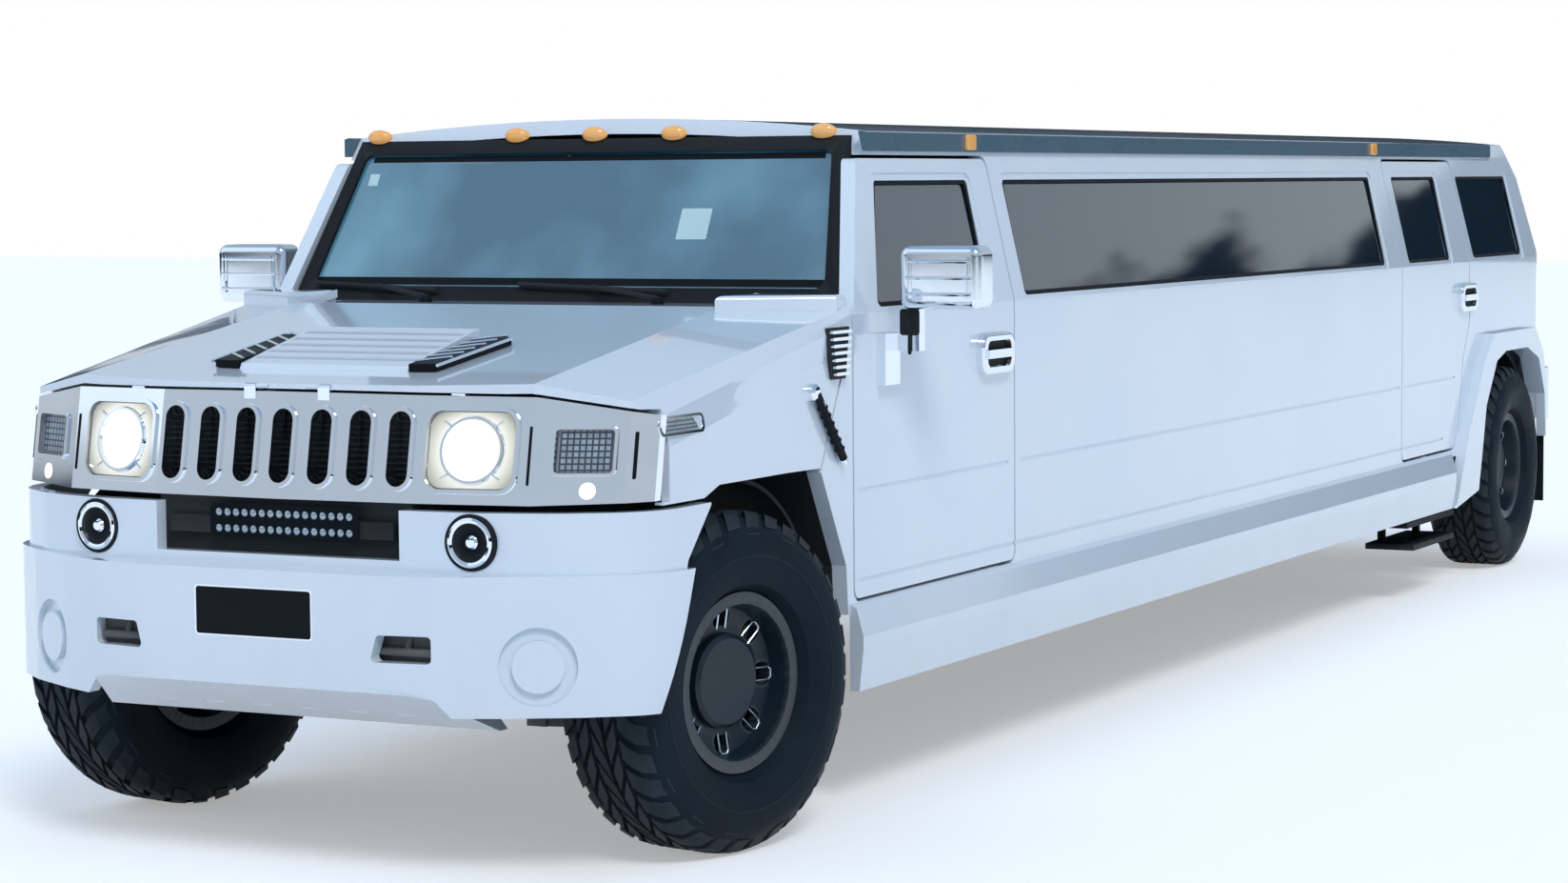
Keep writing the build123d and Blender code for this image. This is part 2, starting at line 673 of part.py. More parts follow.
def make_nose():
    """The chrome face with its slots and lamp openings, and the lamps in it."""
    slots = [(i - (SLOTS - 1) / 2) * SLOT_PITCH for i in range(SLOTS)]
    with BuildPart() as fascia:
        add(fascia_band(0, FASCIA_T))
        add(fascia_face(), mode=Mode.INTERSECT)
        with BuildPart(mode=Mode.PRIVATE) as cuts:
            with BuildSketch(Plane.XZ.offset(-(FA - 900))):
                with Locations(*[(x, SLOT_Z) for x in slots]):
                    SlotOverall(SLOT_H, SLOT_W, rotation=90)
                with Locations((-HEADLAMP_X, SLOT_Z), (HEADLAMP_X, SLOT_Z)):
                    RectangleRounded(HEADLAMP_W, HEADLAMP_H, 40)
                with Locations((-CORNER_LAMP_X, SLOT_Z), (CORNER_LAMP_X, SLOT_Z)):
                    RectangleRounded(CORNER_LAMP_W, CORNER_LAMP_H, 10)
            extrude(amount=-600)
        add(cuts.part, mode=Mode.SUBTRACT)
        with BuildPart(mode=Mode.PRIVATE) as rims:
            with BuildSketch(Plane.XZ.offset(-(FA - 900))):
                with Locations(*[(x, SLOT_Z) for x in slots]):
                    SlotOverall(SLOT_H + 3 * RIM_PROUD, SLOT_W + 3 * RIM_PROUD, rotation=90)
                    SlotOverall(SLOT_H, SLOT_W, rotation=90, mode=Mode.SUBTRACT)
                with Locations((-HEADLAMP_X, SLOT_Z), (HEADLAMP_X, SLOT_Z)):
                    RectangleRounded(HEADLAMP_W + 3 * RIM_PROUD, HEADLAMP_H + 3 * RIM_PROUD, 50)
                    RectangleRounded(HEADLAMP_W, HEADLAMP_H, 40, mode=Mode.SUBTRACT)
                with Locations((-CORNER_LAMP_X, SLOT_Z), (CORNER_LAMP_X, SLOT_Z)):
                    RectangleRounded(CORNER_LAMP_W + 2 * RIM_PROUD, CORNER_LAMP_H + 2 * RIM_PROUD, 16)
                    RectangleRounded(CORNER_LAMP_W, CORNER_LAMP_H, 10, mode=Mode.SUBTRACT)
            extrude(amount=-600)
            add(fascia_band(RIM_PROUD, RIM_PROUD + 5), mode=Mode.INTERSECT)
        add(rims.part)
        for sign in (-1, 1):
            inner = BARREL_X + BARREL_W + 1
            block(sign * inner, sign * (inner + BARREL_W), FA - BONNET_AXIS - BARREL_R, FA - BONNET_AXIS + BARREL_R,
                  FASCIA_TOP - 20, BONNET_AXIS_Z)
            for radius, x0, x1 in ((BARREL_R, inner, inner + BARREL_W), (BARREL_PIN_R, BARREL_X, inner)):
                with Locations(Location((sign * (x0 + x1) / 2, FA - BONNET_AXIS, BONNET_AXIS_Z), (0, 90, 0))):
                    Cylinder(radius, x1 - x0)
            block(sign * 480, sign * 520, FA - 640, FA - 620, FASCIA_TOP - 20, FASCIA_TOP + 6 - 3.3)
    save(fascia.part, "lamp_panel")

    with BuildPart() as lamps:
        with BuildPart(mode=Mode.PRIVATE) as inserts:
            with BuildSketch(Plane.XZ.offset(-(FA - 900))):
                with Locations((-HEADLAMP_X, SLOT_Z), (HEADLAMP_X, SLOT_Z)):
                    RectangleRounded(HEADLAMP_W - 2 * GLASS_GAP, HEADLAMP_H - 2 * GLASS_GAP, 40 - GLASS_GAP)
                with Locations((-CORNER_LAMP_X, SLOT_Z), (CORNER_LAMP_X, SLOT_Z)):
                    RectangleRounded(CORNER_LAMP_W - 2 * GLASS_GAP, CORNER_LAMP_H - 2 * GLASS_GAP, 10 - GLASS_GAP)
            extrude(amount=-600)
        add(inserts.part)
        add(fascia_band(-10, FASCIA_T - 16), mode=Mode.INTERSECT)
        add(fascia_face(), mode=Mode.INTERSECT)
        with Locations(*[Location((sign * FOG_X, FA - 680, FOG_Z), (90, 0, 0)) for sign in (-1, 1)]):
            Cylinder(FOG_R - SEAT_GAP, 70)
    save(lamps.part, "front_lamps")


BUMPER_UPPER = [(400, FA - 735), (600, FA - 722), (800, FA - 660), (950, FA - 560), (1005, FA - 450)]
BUMPER_LOWER = [(350, FA - FRONT_OVERHANG), (520, FA - 816), (669, FA - 750), (850, FA - 650), (980, FA - 550),
                (1030, FA - 450)]


def bumper_solid(points, z0, z1, inward=0.0):
    """A slab with a flat middle and rounded wings, drawn in by inward."""
    with BuildPart() as slab:
        with BuildSketch(Plane.XY.offset(z0)):
            with BuildLine():
                FilletPolyline(*both_sides(points + [(points[-1][0], FA)]), radius=BUMPER_R, close=True)
            make_face()
            if inward:
                offset(amount=-inward, kind=Kind.INTERSECTION)
        extrude(amount=z1 - z0)
    return slab.part


def plan_solid(points, rear, z0, z1):
    """A slab between a plan outline with its mirror image and a straight rear edge."""
    left = list(points) + [(points[-1][0], rear)]
    with BuildPart() as slab:
        with BuildSketch(Plane.XY.offset(z0)):
            with BuildLine():
                Polyline(*both_sides(left), close=True)
            make_face()
        extrude(amount=z1 - z0)
    return slab.part


def skid_front():
    """The front view of the skid panel, arched on top, as a prism."""
    foot, shoulder = 627, 521
    with BuildPart() as arch:
        with BuildSketch(Plane.XZ.offset(-(FA - 900))):
            with BuildLine():
                Polyline((-shoulder, SKID_TOP - 40), (-foot, 370), (foot, 370), (shoulder, SKID_TOP - 40))
                ThreePointArc((shoulder, SKID_TOP - 40), (0, SKID_TOP), (-shoulder, SKID_TOP - 40))
            make_face()
        extrude(amount=-400)
    return arch.part


def make_front_bumper():
    """The two-tier bumper with its side returns, recess, tow openings and skid panel."""
    side_cut = [(FA - 235, BUMPER_TOP + 20), (FA - 235, 943), (FA - 361, 813), (FA - 514, BUMPER_BOTTOM - 20),
                (FA + 100, BUMPER_BOTTOM - 20), (FA + 100, BUMPER_TOP + 20)]
    with BuildPart() as bumper:
        add(bumper_solid(BUMPER_UPPER, BUMPER_STEP - LEDGE_T, BUMPER_TOP))
        add(bumper_solid(BUMPER_LOWER, BUMPER_BOTTOM, BUMPER_STEP))
        for outline, low, high in ((BUMPER_UPPER, BUMPER_STEP - 2 * LEDGE_T, BUMPER_TOP + 10),
                                   (BUMPER_LOWER, BUMPER_BOTTOM - 10, BUMPER_STEP - LEDGE_T)):
            add(bumper_solid(outline, low, high, BUMPER_T), mode=Mode.SUBTRACT)
        block(-RECESS_X, RECESS_X, FA - 900, FA - 600, RECESS_BOTTOM, BUMPER_TOP + 20, mode=Mode.SUBTRACT)
        add(side_prism(side_cut, x0=-1200), mode=Mode.SUBTRACT)
        block(-900, 900, FA - 560, FA + 200, BUMPER_BOTTOM - 20, BUMPER_TOP + 20, mode=Mode.SUBTRACT)
        tow = [(352, 576), (372, 645), (518, 645), (518, 576)]
        add(front_prism(tow, FA - 900, FA - 600, 12), mode=Mode.SUBTRACT)
        add(front_prism([(-x, z) for x, z in tow], FA - 900, FA - 600, 12), mode=Mode.SUBTRACT)
        with Locations(*[Location((sign * FOG_X, FA - 680, FOG_Z), (90, 0, 0)) for sign in (-1, 1)]):
            Cylinder(FOG_R, 200, mode=Mode.SUBTRACT)
        for sign in (-1, 1):
            (x0, y0), (x1, y1) = BUMPER_LOWER[2:4]
            turn = sign * math.degrees(math.atan2(y1 - y0, x1 - x0))
            wing = Location((sign * (x0 + x1) / 2, (y0 + y1) / 2, DISH_Z), (0, 0, turn))
            wing = wing * Location((0, 0, 0), (90, 0, 0))
            with Locations(wing):
                Cylinder(DISH_R, 2 * DISH_DEEP + 6, mode=Mode.SUBTRACT)
            with Locations(wing * Location((0, 0, -DISH_DEEP))):
                Cylinder(DISH_PLUG_R, 2 * DISH_DEEP)
        add(skid_front(), mode=Mode.SUBTRACT)
    save(bumper.part, "front_bumper")

    with BuildPart() as skid:
        with BuildSketch(Plane.YZ.offset(-620)):
            with BuildLine():
                Polyline((FA - FRONT_OVERHANG, SKID_TOP), (FA - FRONT_OVERHANG + 50, SKID_TOP), (FA - 600, 430),
                         (FA - 600, 390), (FA - 640, 390), (FA - FRONT_OVERHANG, SKID_TOP - 30), close=True)
            make_face()
        extrude(amount=1240)
        add(skid_front(), mode=Mode.INTERSECT)
        pitch = 900 / SCOOPS
        for i in range(SCOOPS):
            x = (i - (SCOOPS - 1) / 2) * pitch
            with Locations(Location((x, FA - 700, 392), (-35, 0, 0))):
                Box(pitch * 0.42, 60, 50, mode=Mode.SUBTRACT)
    save(skid.part, "skid_panel")

    with BuildPart() as bar:
        block(-RECESS_X - 15, RECESS_X + 15, FA - 735 + BUMPER_T, FA - 660, RECESS_BOTTOM, FASCIA_BOTTOM)
        block(-RECESS_X + 30, RECESS_X - 30, FA - 715, FA - 735 + BUMPER_T, 870, 915)
    save(bar.part, "light_bar")


make_body()
make_tailgate()
make_fixed_glass()
make_door(FRONT_DOOR, WINDOWS["front_door"], "front_door", FA + 1628, True)
make_door(REAR_DOOR, WINDOWS["rear_door"], "rear_door", RA - 705, False)
make_nose()
make_front_bumper()


def bonnet_form(inset):
    """The clamshell bonnet's outer form between two cross sections, drawn in by inset."""
    front = [(BONNET_CORNER_X, 1246), (915, 1182), (960, 1120), (SIDE_X, 1040), (SIDE_X, 900)]
    rear = [(BONNET_CORNER_X, 1462), (1000, 1427), (1002, 1380), (SIDE_X, 1300), (SIDE_X, 900)]
    with BuildPart() as form:
        for y, edge in ((FA - 760, front), (FA + 620, rear)):
            with BuildSketch(Plane.XZ.offset(-y)) as section:
                with BuildLine():
                    Polyline(*both_sides(edge), close=True)
                make_face()
                if inset:
                    offset(amount=-inset, kind=Kind.INTERSECTION)
                upper = [v for v in section.vertices() if v.Z > 1000]
                fillet(upper, SHOULDER_R - inset)
        loft(ruled=True)
    return form.part


def make_bonnet():
    """The bonnet with its fender sides, louvre panel, corner pads and side catches."""
    side = [
        (FA - 455, BONNET_BOTTOM), (FA - 235, BONNET_BOTTOM), (FA - 150, ARCH_TOP), (FA + 250, ARCH_TOP),
        (FA + 440, 985), (FA + 594, 1275), (FA + 603, 1392), (FA + 603, 1600), (FA - 900, 1600), (FA - 900, 1150),
        (FA - 420, 1150),
    ]
    lip = [(0, FA - 674), (400, FA - 658), (BONNET_CORNER_X, FA - 612), (927, FA - 516), (1010, FA - 440)]
    with BuildPart() as bonnet:
        add(bonnet_form(0))
        add(bonnet_form(BONNET_T), mode=Mode.SUBTRACT)
        add(side_prism(side, x0=-1200), mode=Mode.INTERSECT)
        add(plan_solid(lip, FA + 603, 800, 1600), mode=Mode.INTERSECT)
        with BuildPart(mode=Mode.PRIVATE) as nose_space:
            add(fascia_face(BONNET_LIFT))
            add(plan_solid([(0, FA - 900), (SIDE_X + 60, FA - 900)], FA - 420, 800, 1400), mode=Mode.INTERSECT)
        add(nose_space.part, mode=Mode.SUBTRACT)
        block(-BONNET_CORNER_X, BONNET_CORNER_X, FA + BONNET_REAR, FA + 700, 1000, 1600, mode=Mode.SUBTRACT)
        for sign in (-1, 1):
            with BuildPart(mode=Mode.PRIVATE) as pad:
                with BuildSketch(Plane.XY.offset(PAD_TOP - 60)):
                    with BuildLine():
                        Polyline((sign * (BONNET_CORNER_X + 4), FA + PAD_FRONT), (sign * 994, FA + PAD_FRONT + 180),
                                 (sign * 990, FA + 600), (sign * (BONNET_CORNER_X + 4), FA + 600), close=True)
                    make_face()
                extrude(amount=60)
                fillet(pad.faces().sort_by(Axis.Z)[-1].edges(), 14)
            add(pad.part)
            inner = BARREL_X + BARREL_W + 1
            middle = sign * (BARREL_X + BARREL_W / 2)
            with Locations(Location((middle, FA - BONNET_AXIS, BONNET_AXIS_Z), (0, 90, 0))):
                Cylinder(BARREL_R, BARREL_W)
            block(sign * (BARREL_X + BARREL_W), sign * (inner + BARREL_W + 1), FA - BONNET_AXIS - 30,
                  FA - BONNET_AXIS + BARREL_R + 8, 1200, 1300, mode=Mode.SUBTRACT)
            middle = sign * (BARREL_X + inner) / 2
            with Locations(Location((middle, FA - BONNET_AXIS, BONNET_AXIS_Z), (0, 90, 0))):
                Cylinder(BARREL_PIN_R + RUN_GAP, inner - BARREL_X + 4, mode=Mode.SUBTRACT)
    save(bonnet.part, "bonnet")

    with BuildPart() as louvre:
        with BuildSketch(Plane.YZ.offset(-LOUVRE_W / 2)):
            with BuildLine():
                Polyline(
                    (FA - LOUVRE_FRONT, bonnet_top(-LOUVRE_FRONT)),
                    (FA - LOUVRE_FRONT + 8, bonnet_top(-LOUVRE_FRONT) + 16),
                    (FA - LOUVRE_REAR, bonnet_top(-LOUVRE_REAR) + 44),
                    (FA - LOUVRE_REAR, bonnet_top(-LOUVRE_REAR)),
                    close=True,
                )
            make_face()
        extrude(amount=LOUVRE_W)
        pitch = (LOUVRE_FRONT - LOUVRE_REAR - 60) / LOUVRE_SLATS
        for i in range(LOUVRE_SLATS):
            y = FA - LOUVRE_FRONT + 52 + i * pitch
            low = bonnet_top(y - FA) + 4
            block(-LOUVRE_W / 2 + 12, LOUVRE_W / 2 - 12, y, y + pitch * 0.42, low, low + 80, mode=Mode.SUBTRACT)
    save(louvre.part, "bonnet_louvre")


LOUVRE_W = 530.0
LOUVRE_FRONT = 510.0
LOUVRE_REAR = 160.0
LOUVRE_SLATS = 5


def bonnet_top(y):
    """Height of the bonnet's flat centre at y from the front axle."""
    return 1246 + (1462 - 1246) * (y + 760) / (620 + 760)


def make_frame():
    """The ladder frame, floor, engine, tank, axles and suspension."""
    with BuildPart() as frame:
        for sign in (-1, 1):
            block(sign * RAIL_X, sign * (RAIL_X - RAIL_W), FA - 680, RA + 640, RAIL_BOTTOM, RAIL_TOP)
        inner = RAIL_X - RAIL_W
        for y in (FA - 640, FA + 700, FA + 2600, FA + 4500, RA - 900, RA + 560):
            block(-inner, inner, y, y + 70, RAIL_BOTTOM + 10, RAIL_TOP - 10)
        block(-inner, inner, FA - 640, FA - 570, RAIL_BOTTOM + 10, RAIL_TOP)
        for sign in (-1, 1):
            block(sign * (inner - 80), sign * (inner - 20), FA - FRONT_OVERHANG + BUMPER_T, FA - 570,
                  RAIL_BOTTOM + 30, RAIL_TOP - 20)
            block(sign * RAIL_X, sign * inner, RA + TAIL_WALL + 5, RA + BUMPER_IN,
                  RAIL_BOTTOM, REAR_BUMPER_BOTTOM + 70)
    save(frame.part, "chassis_frame")

    with BuildPart() as floor:
        block(-930, 930, FA + 665, RA + 575, RAIL_TOP, FLOOR_TOP)
        for sign in (-1, 1):
            block(sign * 830, sign * 940, RA + 480, RA + 600, 600, 700, mode=Mode.SUBTRACT)
        for sign in (-1, 1):
            block(sign * REAR_LINER_IN, sign * 1000, RA - LINER_R, RA + LINER_R, 600, 700, mode=Mode.SUBTRACT)
            outer = Location((sign * (REAR_LINER_IN + 936) / 2, RA, AXLE_Z), (0, 90, 0))
            with BuildPart(mode=Mode.PRIVATE) as liner:
                with Locations(outer):
                    Cylinder(LINER_R + LINER_T, 936 - REAR_LINER_IN)
                with Locations(outer):
                    Cylinder(LINER_R, 1000, mode=Mode.SUBTRACT)
                inboard = Location((sign * (REAR_LINER_IN + LINER_T / 2), RA, AXLE_Z), (0, 90, 0))
                with Locations(inboard):
                    Cylinder(LINER_R + LINER_T, LINER_T)
                block(-1000, 1000, RA - 700, RA + 700, -200, RAIL_TOP, mode=Mode.SUBTRACT)
            add(liner.part)
    save(floor.part, "floor_pan")

    with BuildPart() as liners:
        outer = Location(((RAIL_X + 930) / 2, FA, AXLE_Z), (0, 90, 0))
        with Locations(outer):
            Cylinder(LINER_R + LINER_T, 930 - RAIL_X)
        with Locations(outer):
            Cylinder(LINER_R, 1000, mode=Mode.SUBTRACT)
        with Locations(Location((RAIL_X - LINER_T / 2, FA, AXLE_Z), (0, 90, 0))):
            Cylinder(LINER_R + LINER_T, LINER_T)
        block(0, RAIL_X, FA - 700, FA + 700, -200, RAIL_TOP, mode=Mode.SUBTRACT)
        block(0, 1000, FA - 700, FA + 700, -200, AXLE_Z + 20, mode=Mode.SUBTRACT)
        mirror(about=Plane.YZ)
    save(liners.part, "wheel_liners")

    with BuildPart() as engine:
        block(-250, 250, FA - 330, FA + 420, 470, 1020)
        for sign in (-1, 1):
            block(sign * 250, sign * (RAIL_X - RAIL_W), FA, FA + 90, 530, 600)
    save(engine.part, "engine_block")

    with BuildPart() as radiator:
        block(-320, 320, FA - 618, FA - 572, RAIL_TOP, 1170)
    save(radiator.part, "radiator")

    with BuildPart() as under:
        block(-340, -90, FA + 2700, FA + 4200, 420, RAIL_TOP)
        with Locations(Location((0, (FA + 420 + RA - 190) / 2, AXLE_Z + 10), (90, 0, 0))):
            Cylinder(40, RA - 190 - FA - 420)
        with Locations(Location((230, (FA + 1000 + RA - 700) / 2, RAIL_BOTTOM - 60), (90, 0, 0))):
            Cylinder(35, RA - 700 - FA - 1000)
        for y in (FA + 2635, FA + 4535, RA - 865):
            block(215, 245, y - 20, y + 20, RAIL_BOTTOM - 60, RAIL_BOTTOM + 10)
    save(under.part, "underbody")

    with BuildPart() as axle:
        with Locations(Location((0, RA, AXLE_Z), (0, 90, 0))):
            Cylinder(AXLE_TUBE_R, 2 * (TRACK / 2 - 90))
            Cylinder(SPINDLE_R, 2 * (TRACK / 2 + SPINDLE_TIP_X))
        with Locations(Location((0, RA, AXLE_Z), (90, 0, 0))):
            Cylinder(150, 150)
        with Locations(Location((0, RA - 130, AXLE_Z + 20), (90, 0, 0))):
            Cylinder(80, 120)
        for sign in (-1, 1):
            block(sign * RAIL_X, sign * (RAIL_X - RAIL_W), RA - 80, RA + 80, AXLE_Z, RAIL_BOTTOM)
            outer, inner = sign * (RAIL_X - 5), sign * (RAIL_X - RAIL_W + 5)
            block(outer, inner, RA - 600, RA + 600, AXLE_Z + 16, AXLE_Z + 34)
            for end in (-1, 1):
                block(outer, inner, RA + end * 600, RA + end * 560, AXLE_Z + 16, RAIL_BOTTOM)
    save(axle.part, "rear_axle")


def make_front_suspension():
    """Arms that carry the steered knuckles, and the knuckles with their spindles."""
    with BuildPart() as arms:
        for z, inboard in ((AXLE_Z - ARM_Z, 440.0), (AXLE_Z + ARM_Z, RAIL_X)):
            with BuildSketch(Plane.XY.offset(z - ARM_T / 2)):
                with BuildLine():
                    Polyline((inboard, FA - 120), (KINGPIN_X, FA - 30), (KINGPIN_X, FA + 30), (inboard, FA + 120),
                             close=True)
                make_face()
                with Locations((KINGPIN_X, FA)):
                    Circle(30)
            extrude(amount=ARM_T)
        block(380, 440, FA - 130, FA + 130, AXLE_Z - ARM_Z - ARM_T / 2, RAIL_BOTTOM)
        with Locations((KINGPIN_X, FA, AXLE_Z)):
            Cylinder(KINGPIN_R + RUN_GAP, 4 * ARM_Z, mode=Mode.SUBTRACT)
        mirror(about=Plane.YZ)
    save(arms.part, "front_suspension")

    top = ARM_Z - ARM_T / 2 - SEAT_GAP
    for label, sign in (("left", 1), ("right", -1)):
        with BuildPart() as knuckle:
            with BuildPart(mode=Mode.PRIVATE) as straight:
                block(-UPRIGHT_T / 2, UPRIGHT_T / 2, -40, 40, -top, top)
                Cylinder(KINGPIN_R, 2 * (ARM_Z + ARM_T / 2))
                reach = TRACK / 2 + SPINDLE_TIP_X - KINGPIN_X
                with Locations(Location((sign * reach / 2, 0, 0), (0, 90, 0))):
                    Cylinder(SPINDLE_R, reach)
            add(straight.part.rotate(Axis.Z, STEER_AT_REST).moved(Location((sign * KINGPIN_X, FA, AXLE_Z))))
        save(knuckle.part, f"knuckle_{label}")


def make_wheels():
    """Four wheels, each a tyre and a rim, the front pair turned with the steering."""
    with BuildPart() as tyre:
        with BuildSketch(Plane.XY):
            with BuildLine():
                Polyline(
                    (BEAD_X, BEAD_R + SEAT_GAP),
                    (BEAD_X, FLANGE_R + 4),
                    (TYRE_HALF_W - 6, 290),
                    (TYRE_HALF_W, 345),
                    (TYRE_HALF_W - 10, 405),
                    (TREAD_HALF_W, TYRE_R - 10),
                    (TREAD_HALF_W - 30, TYRE_R),
                    (-TREAD_HALF_W + 30, TYRE_R),
                    (-TREAD_HALF_W, TYRE_R - 10),
                    (-TYRE_HALF_W + 10, 405),
                    (-TYRE_HALF_W, 345),
                    (-TYRE_HALF_W + 6, 290),
                    (-BEAD_X, FLANGE_R + 4),
                    (-BEAD_X, BEAD_R + SEAT_GAP),
                    (-BEAD_X + TYRE_WALL, BEAD_R + SEAT_GAP),
                    (-TYRE_HALF_W + 6 + TYRE_WALL, 296),
                    (-TYRE_HALF_W + 20 + TYRE_WALL, 396),
                    (-TREAD_HALF_W + 26, TYRE_R - 26),
                    (TREAD_HALF_W - 26, TYRE_R - 26),
                    (TYRE_HALF_W - 20 - TYRE_WALL, 396),
                    (TYRE_HALF_W - 6 - TYRE_WALL, 296),
                    (BEAD_X - TYRE_WALL, BEAD_R + SEAT_GAP),
                    close=True,
                )
            make_face()
        revolve(axis=Axis.X)
    with BuildPart() as rim:
        with BuildSketch(Plane.XY):
            with BuildLine():
                Polyline(
                    (BEAD_X + 1, BEAD_R),
                    (BEAD_X + 1, FLANGE_R),
                    (BEAD_X + 9, FLANGE_R),
                    (BEAD_X + 9, BEAD_R - 8),
                    (DISC_OUT + 10, BEAD_R - RIM_WALL - 10),
                    (DISC_OUT, 150),
                    (DISC_OUT, HUB_R),
                    (DISC_OUT + HUB_CAP_T - 8, HUB_R - 2),
                    (DISC_OUT + HUB_CAP_T, HUB_R - 14),
                    (DISC_OUT + HUB_CAP_T, 0),
                    (SPINDLE_TIP_X + 4, 0),
                    (SPINDLE_TIP_X + 4, SPINDLE_R + RUN_GAP),
                    (DISC_IN, SPINDLE_R + RUN_GAP),
                    (DISC_IN, 150),
                    (DISC_IN + 6, BEAD_R - RIM_WALL),
                    (-BEAD_X - 9, BEAD_R - RIM_WALL),
                    (-BEAD_X - 9, FLANGE_R),
                    (-BEAD_X - 1, FLANGE_R),
                    (-BEAD_X - 1, BEAD_R),
                    close=True,
                )
            make_face()
        revolve(axis=Axis.X)
        with BuildPart(mode=Mode.PRIVATE) as windows:
            with BuildSketch(Plane.YZ):
                with PolarLocations(168, SPOKES):
                    RectangleRounded(44, SPOKE_W, 14)
            extrude(amount=200)
        add(windows.part, mode=Mode.SUBTRACT)
    for name, x, y, turn in (
        ("front_left", 1, FA, STEER_AT_REST),
        ("front_right", -1, FA, STEER_AT_REST),
        ("rear_left", 1, RA, 0),
        ("rear_right", -1, RA, 0),
    ):
        for part, label in ((tyre.part, "tyre"), (rim.part, "rim")):
            with BuildPart() as placed:
                with BuildPart(mode=Mode.PRIVATE) as straight:
                    outward = part.rotate(Axis.Z, 0 if x > 0 else 180)
                    add(outward.moved(Location((x * (TRACK / 2 - KINGPIN_X), 0, 0))))
                add(straight.part.rotate(Axis.Z, turn).moved(Location((x * KINGPIN_X, y, AXLE_Z))))
            save(placed.part, f"{label}_{name}")


BUMPER_IN = 725.0


def make_rear_and_sides():
    """Rear bumper, tail lamps, sill skirts, arch flares, steps and mud flaps."""
    rear_line = [(0, RA + REAR_OVERHANG), (880, RA + 775), (1000, RA + 680), (1012, RA + 545)]
    with BuildPart() as bumper:
        with BuildSketch(Plane.XY.offset(REAR_BUMPER_BOTTOM)):
            with BuildLine():
                Polyline(*both_sides(rear_line), close=True)
            make_face()
        extrude(amount=REAR_BUMPER_TOP - REAR_BUMPER_BOTTOM)
        block(-SIDE_X, SIDE_X, RA + 500, RA + TAIL_WALL + 15, 0, 1000, mode=Mode.SUBTRACT)
        block(-880, 880, RA + 500, RA + BUMPER_IN, 0, 1000, mode=Mode.SUBTRACT)
    save(bumper.part, "rear_bumper")

    with BuildPart() as lamps:
        with BuildSketch(Plane.XZ.offset(-(RA + 500))):
            with Locations((-800, 1190), (800, 1190)):
                RectangleRounded(110, 300, 20)
        extrude(amount=-200)
        add(shell_plus(14), mode=Mode.INTERSECT)
        add(cabin_form(0), mode=Mode.SUBTRACT)
    save(lamps.part, "rear_lamps")

    flare_bottom = RA - 963
    with BuildPart() as skirts:
        with BuildSketch(Plane.XZ.offset(-(FA + ARCH_REAR + 20))):
            with BuildLine():
                Polyline((SIDE_X, SKIRT_TOP), (SIDE_X + 22, SKIRT_TOP - 12), (SKIRT_OUT, 500), (SKIRT_OUT, 470),
                         (SKIRT_OUT - 14, SKIRT_BOTTOM), (SIDE_X, SKIRT_BOTTOM), close=True)
            make_face()
        extrude(amount=-(flare_bottom - SHUT_GAP / 2 - FA - ARCH_REAR - 20))
        outline = [
            (flare_bottom, SKIRT_BOTTOM), (RA - 880, 480), (RA - 764, 666), (RA - 529, 954), (RA - 377, 1074),
            (RA + 330, 1074), (RA + 470, 960), (RA + 540, 800), (RA + 540, 560),
        ]
        with BuildPart(mode=Mode.PRIVATE) as flare:
            add(side_prism(outline, x0=SIDE_X, x1=SKIRT_OUT))
            add(side_prism(REAR_ARCH), mode=Mode.SUBTRACT)
        add(flare.part)
        mirror(about=Plane.YZ)
    save(skirts.part, "sill_skirts")

    with BuildPart() as steps:
        for y0, y1, z in ((RA - 1636, RA - 949, SKIRT_BOTTOM - 29), (RA - 1539, RA - 946, 215)):
            block(800, 1010, y0, y1, z, z + 24)
        for y in (RA - 1500, RA - 1000):
            block(840, 868, y, y + 30, 239, SKIRT_BOTTOM - 29)
            block(840, 868, y, y + 30, SKIRT_BOTTOM - 5, 480)
            block(RAIL_X, 868, y, y + 30, 480, RAIL_BOTTOM + 40)
    save(steps.part, "entry_steps")

    with BuildPart() as flaps:
        block(TRACK / 2 - TYRE_HALF_W, 900, RA + 545, RA + 553, 249, RAIL_TOP)
        block(900, 1012, RA + 545, RA + 553, 249, SIDE_BOTTOM - 5)
        mirror(about=Plane.YZ)
    save(flaps.part, "mud_flaps")

    with BuildPart() as rails:
        with BuildSketch(Plane.XZ.offset(-(FA + 935))):
            with BuildLine():
                Polyline((RAIL_LINE_X, RAIL_LINE_Z), (RAIL_LINE_X + 12, RAIL_LINE_Z), (RAIL_LINE_X + 12, ROOF_EDGE_Z - 4),
                         (ROOF_EDGE_X + 12, ROOF_EDGE_Z), (ROOF_EDGE_X, ROOF_EDGE_Z), close=True)
            make_face()
        extrude(amount=-(RA + 15 - FA - 935))
        mirror(about=Plane.YZ)
    save(rails.part, "roof_rails")


def shell_plus(proud):
    """The cabin's outer form grown by proud all round."""
    return cabin_form(-proud)


